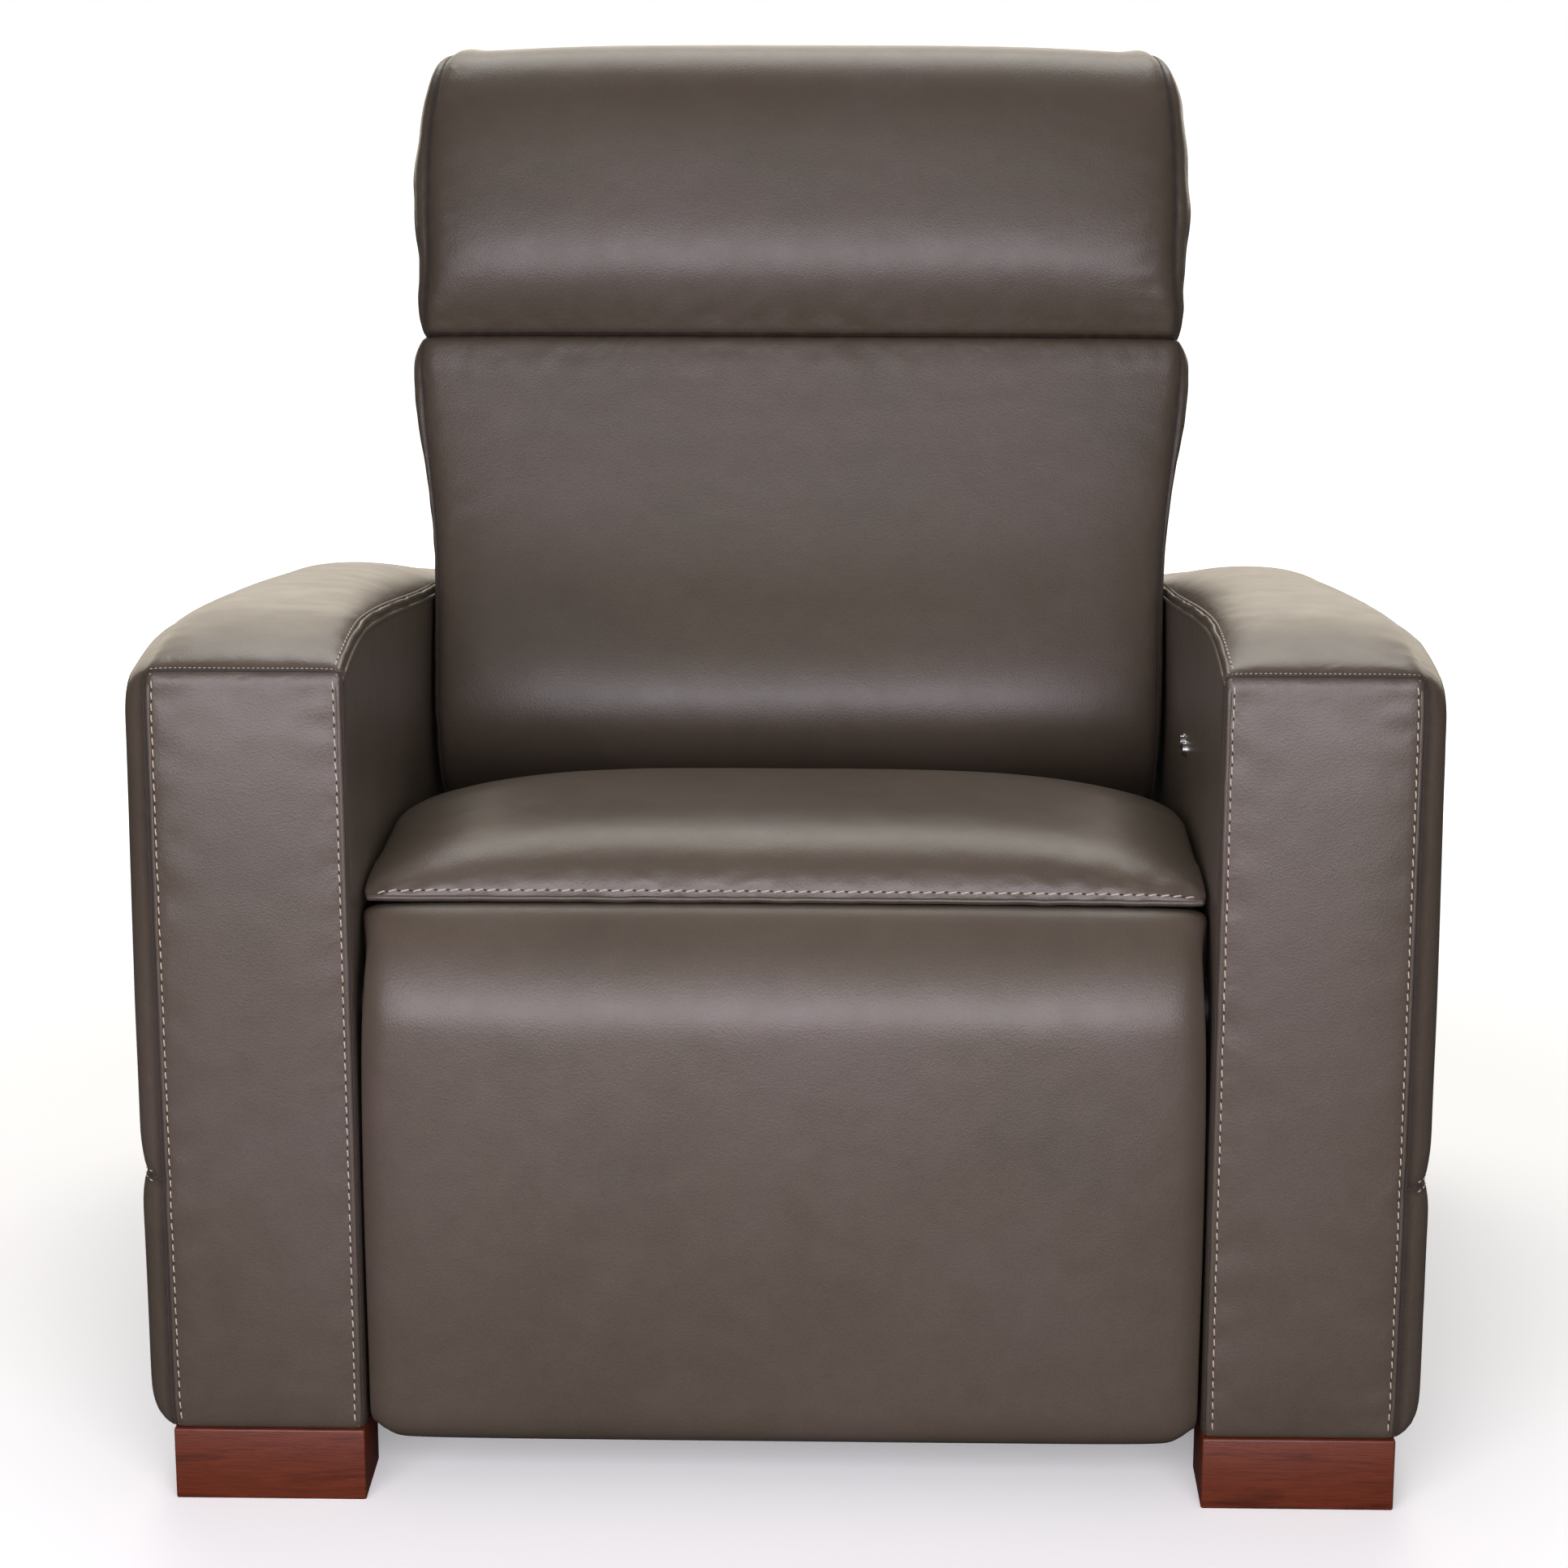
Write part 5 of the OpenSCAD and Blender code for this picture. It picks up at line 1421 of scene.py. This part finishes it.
NODE_FINISHES: dict[Finish, str] = {
    Finish.PLYWOOD: (
        "left_arm_frame right_arm_frame seat_side_boards seat_front_board seat_rear_board leg_board back_stiles "
        "back_rails head_board"),
    Finish.FOOT_WOOD: "front_left_foot front_right_foot rear_left_foot rear_right_foot",
    Finish.BLACK_STEEL: (
        "left_side_rail right_side_rail front_cross_rail rear_cross_rail left_leg_arm right_leg_arm left_back_bracket "
        "right_back_bracket left_head_hinge right_head_hinge left_head_arm right_head_arm leg_crank back_crank"),
    Finish.ZINC_STEEL: (
        "foot_bolts rail_bolts leg_rod recline_rod leg_sleeve recline_sleeve leg_shaft back_shaft leg_screws "
        "back_bolts seat_springs leg_motor recline_motor"),
    Finish.NYLON: "leg_bushes back_bushes",
    Finish.BLACK_PLASTIC: "leg_gearbox recline_gearbox control_box power_inlet switch_housing",
    Finish.CHROME: "switch_bezel button_open button_close",
    Finish.WEBBING: "back_webbing",
    Finish.LEATHER: (
        "left_arm_pad right_arm_pad seat_cushion leg_pad back_cushion headrest back_panel head_panel rear_apron"),
}


class Studio:
    """Floor, background, lamps and the camera at the photograph's angle."""

    def build(self) -> None:
        """Makes the stage, the light and the camera."""
        self.camera()
        self.room()
        cool, warm = (1.0, 0.94, 1.04), (1.0, 0.97, 0.92)
        self.lamp("front_strip", (-100.0, -2200.0, 820.0), (0.0, 0.0, 560.0), (2.6, 1.1), 50.0, cool)
        self.lamp("front_box", (-200.0, -2600.0, 2500.0), (0.0, 0.0, 500.0), (2.2, 1.6), 8.0, warm)
        self.lamp("top_box", (0.0, 1300.0, 3000.0), (0.0, 0.0, 500.0), (2.6, 2.0), 62.0, warm)
        self.floor()

    def camera(self) -> None:
        """Sets the camera that looks at the seat from the front, a little from above."""
        data = bpy.data.cameras.new("front_view")
        data.lens = 86.82
        data.sensor_width = 36.0
        data.clip_end = 60.0
        cam = bpy.data.objects.new("front_view", data)
        bpy.context.scene.collection.objects.link(cam)
        cam.location = metres(68.1, -3131.9, 1262.0)
        cam.rotation_euler = (math.radians(90.0 - 14.26), 0.0, math.radians(1.42))
        bpy.context.scene.camera = cam

    def room(self) -> None:
        """Sets the background and the pale room light: white for the camera, and a backdrop for gloss."""
        bpy.context.scene.view_settings.view_transform = "Standard"
        world = bpy.data.worlds.new("pale_room")
        bpy.context.scene.world = world
        world.use_nodes = True
        nodes = Nodes(world.node_tree)
        split = nodes.add("SeparateXYZ", "X", {0: nodes.add("TexCoord", "Generated")}).node
        shares = [nodes.add("MapRange", "Result", {"Value": split.outputs[axis], "From Min": low, "From Max": high},
                            interpolation_type="SMOOTHSTEP") for axis, low, high in (("Y", 0.4, 0.8), ("Z", 0.75, 0.2))]
        rays = nodes.add("LightPath").node.outputs
        gloss = nodes.blend("MIX", nodes.value("MULTIPLY", *shares), (0.13, 0.125, 0.118), (2.5, 2.25, 1.88))
        colour = nodes.blend("MIX", rays["Is Camera Ray"], gloss, (1.0, 1.0, 1.0))
        seen = nodes.value("MAXIMUM", rays["Is Camera Ray"], rays["Is Glossy Ray"])
        seen = nodes.value("MAXIMUM", seen, rays["Is Transmission Ray"])
        pale = nodes.add("Background", 0, {"Color": (1.0, 0.98, 0.94), "Strength": 0.2})
        backdrop = nodes.add("Background", 0, {"Color": colour, "Strength": 1.0})
        nodes.close("World", nodes.add("MixShader", 0, {"Fac": seen, 1: pale, 2: backdrop}))

    def lamp(self, name: str, place: Sequence[float], aim: Sequence[float], size: tuple[float, float],
             power: float, colour: Sequence[float]) -> None:
        """Adds one soft lamp.

        Args:
            name: The lamp's name.
            place: Where it hangs.
            aim: The point that it faces.
            size: Its width and height in metres.
            power: Its power in watts.
            colour: Its colour.
        """
        data = bpy.data.lights.new(name, "AREA")
        data.shape = "RECTANGLE"
        data.size, data.size_y = size
        data.energy = power
        data.color = colour
        lamp = bpy.data.objects.new(name, data)
        bpy.context.scene.collection.objects.link(lamp)
        lamp.visible_camera = False
        lamp.location = metres(*place)
        lamp.rotation_euler = (metres(*aim) - metres(*place)).to_track_quat("-Z", "Y").to_euler()

    def floor(self) -> None:
        """Lays the pale floor that keeps the seat's shadow."""
        bpy.ops.object.select_all(action="DESELECT")
        bpy.ops.mesh.primitive_plane_add(size=40.0, location=(0.0, 0.0, 0.0))
        floor = bpy.context.object
        floor.name = "studio_floor"
        material = bpy.data.materials.new("pale_floor")
        material.use_nodes = True
        nodes = Nodes(material.node_tree)
        far = nodes.add("VectorMath", "Value", {0: nodes.add("TexCoord", "Object")}, operation="LENGTH")
        rise = nodes.add("MapRange", "Result", {"Value": far, "From Min": 0.9, "From Max": 2.4, "To Min": 0.27,
                                                "To Max": 1.0}, interpolation_type="SMOOTHSTEP")
        glow = nodes.add("Emission", 0, {"Color": (1.0, 1.0, 1.0), "Strength": rise})
        dark, pale = (nodes.add("BsdfDiffuse", 0, {"Color": (grey,) * 3}) for grey in (0.10, 0.95))
        seen = nodes.add("AddShader", 0, {0: pale, 1: glow})
        path = nodes.add("LightPath", "Is Camera Ray")
        nodes.close("Material", nodes.add("MixShader", 0, {"Fac": path, 1: dark, 2: seen}))
        floor.data.materials.append(material)


def dress_nodes(nodes: dict[str, Piece]) -> None:
    """Gives every carried node its finish.

    Args:
        nodes: The carried nodes by name.
    """
    for finish, names in NODE_FINISHES.items():
        for name in names.split():
            if name in nodes:
                FINISHES.put(nodes[name], finish)


def main() -> None:
    """Builds the seat's pieces in order and reports each one."""
    logging.basicConfig(level=logging.INFO, format="%(message)s")
    Studio().build()
    dress_nodes(frame["nodes"])
    for cover in (
        Arm("left_arm_cover", "base", ("left_arm_pad",), (14, 60, 44), fill=0.9, gather=0.045, cap=3.0),
        Arm("right_arm_cover", "base", ("right_arm_pad",), (14, 60, 44), fill=0.9, gather=0.045, cap=3.0, side=-1),
        SeatCushion("seat_cover", "base", ("seat_cushion",), (54, 40, 8), fill=0.9, gather=0.06, cap=4.5,
                    edge_share=0.2),
        LegPad("leg_cover", "leg_rest", ("leg_pad",), (54, 7, 44), fill=0.9, gather=0.045, cap=3.0, edge_share=0.3),
        BackCushion("back_cover", "back", ("back_cushion",), (54, 14, 42), fill=0.85, gather=0.05, cap=4.5,
                    edge_share=0.3),
        Headrest("head_cover", "head", ("headrest",), (54, 14, 32), fill=0.85, gather=0.06, cap=4.5, edge_share=0.3),
        RearPanel("back_panel_cover", "back", ("back_panel",), (44, 5, 30), cap=2.0,
                  half=314.0, low=95.0, high=512.0, near=17.5, far=75.0, round_top=6.0),
        RearPanel("head_panel_cover", "head", ("head_panel",), (44, 5, 20), cap=2.0,
                  half=300.0, low=513.6, high=768.0, near=17.5, far=75.0, round_top=26.0),
        RearPanel("rear_apron_cover", "base", ("rear_apron",), (44, 3, 22), cap=0.0, half=321.5, low=58.0,
                  high=350.0, near=381.2, far=395.6, round_top=3.0, swell_out=3.0, leaning=False),
    ):
        cover.build()
        cover.trim()
    CreaseGusset().build()
    TuckFlap().build()
    for label in ("front_left", "front_right", "rear_left", "rear_right"):
        Foot(label + "_foot_block", label + "_foot").build()
    log.info("all pieces built")


if __name__ == "__main__":
    main()
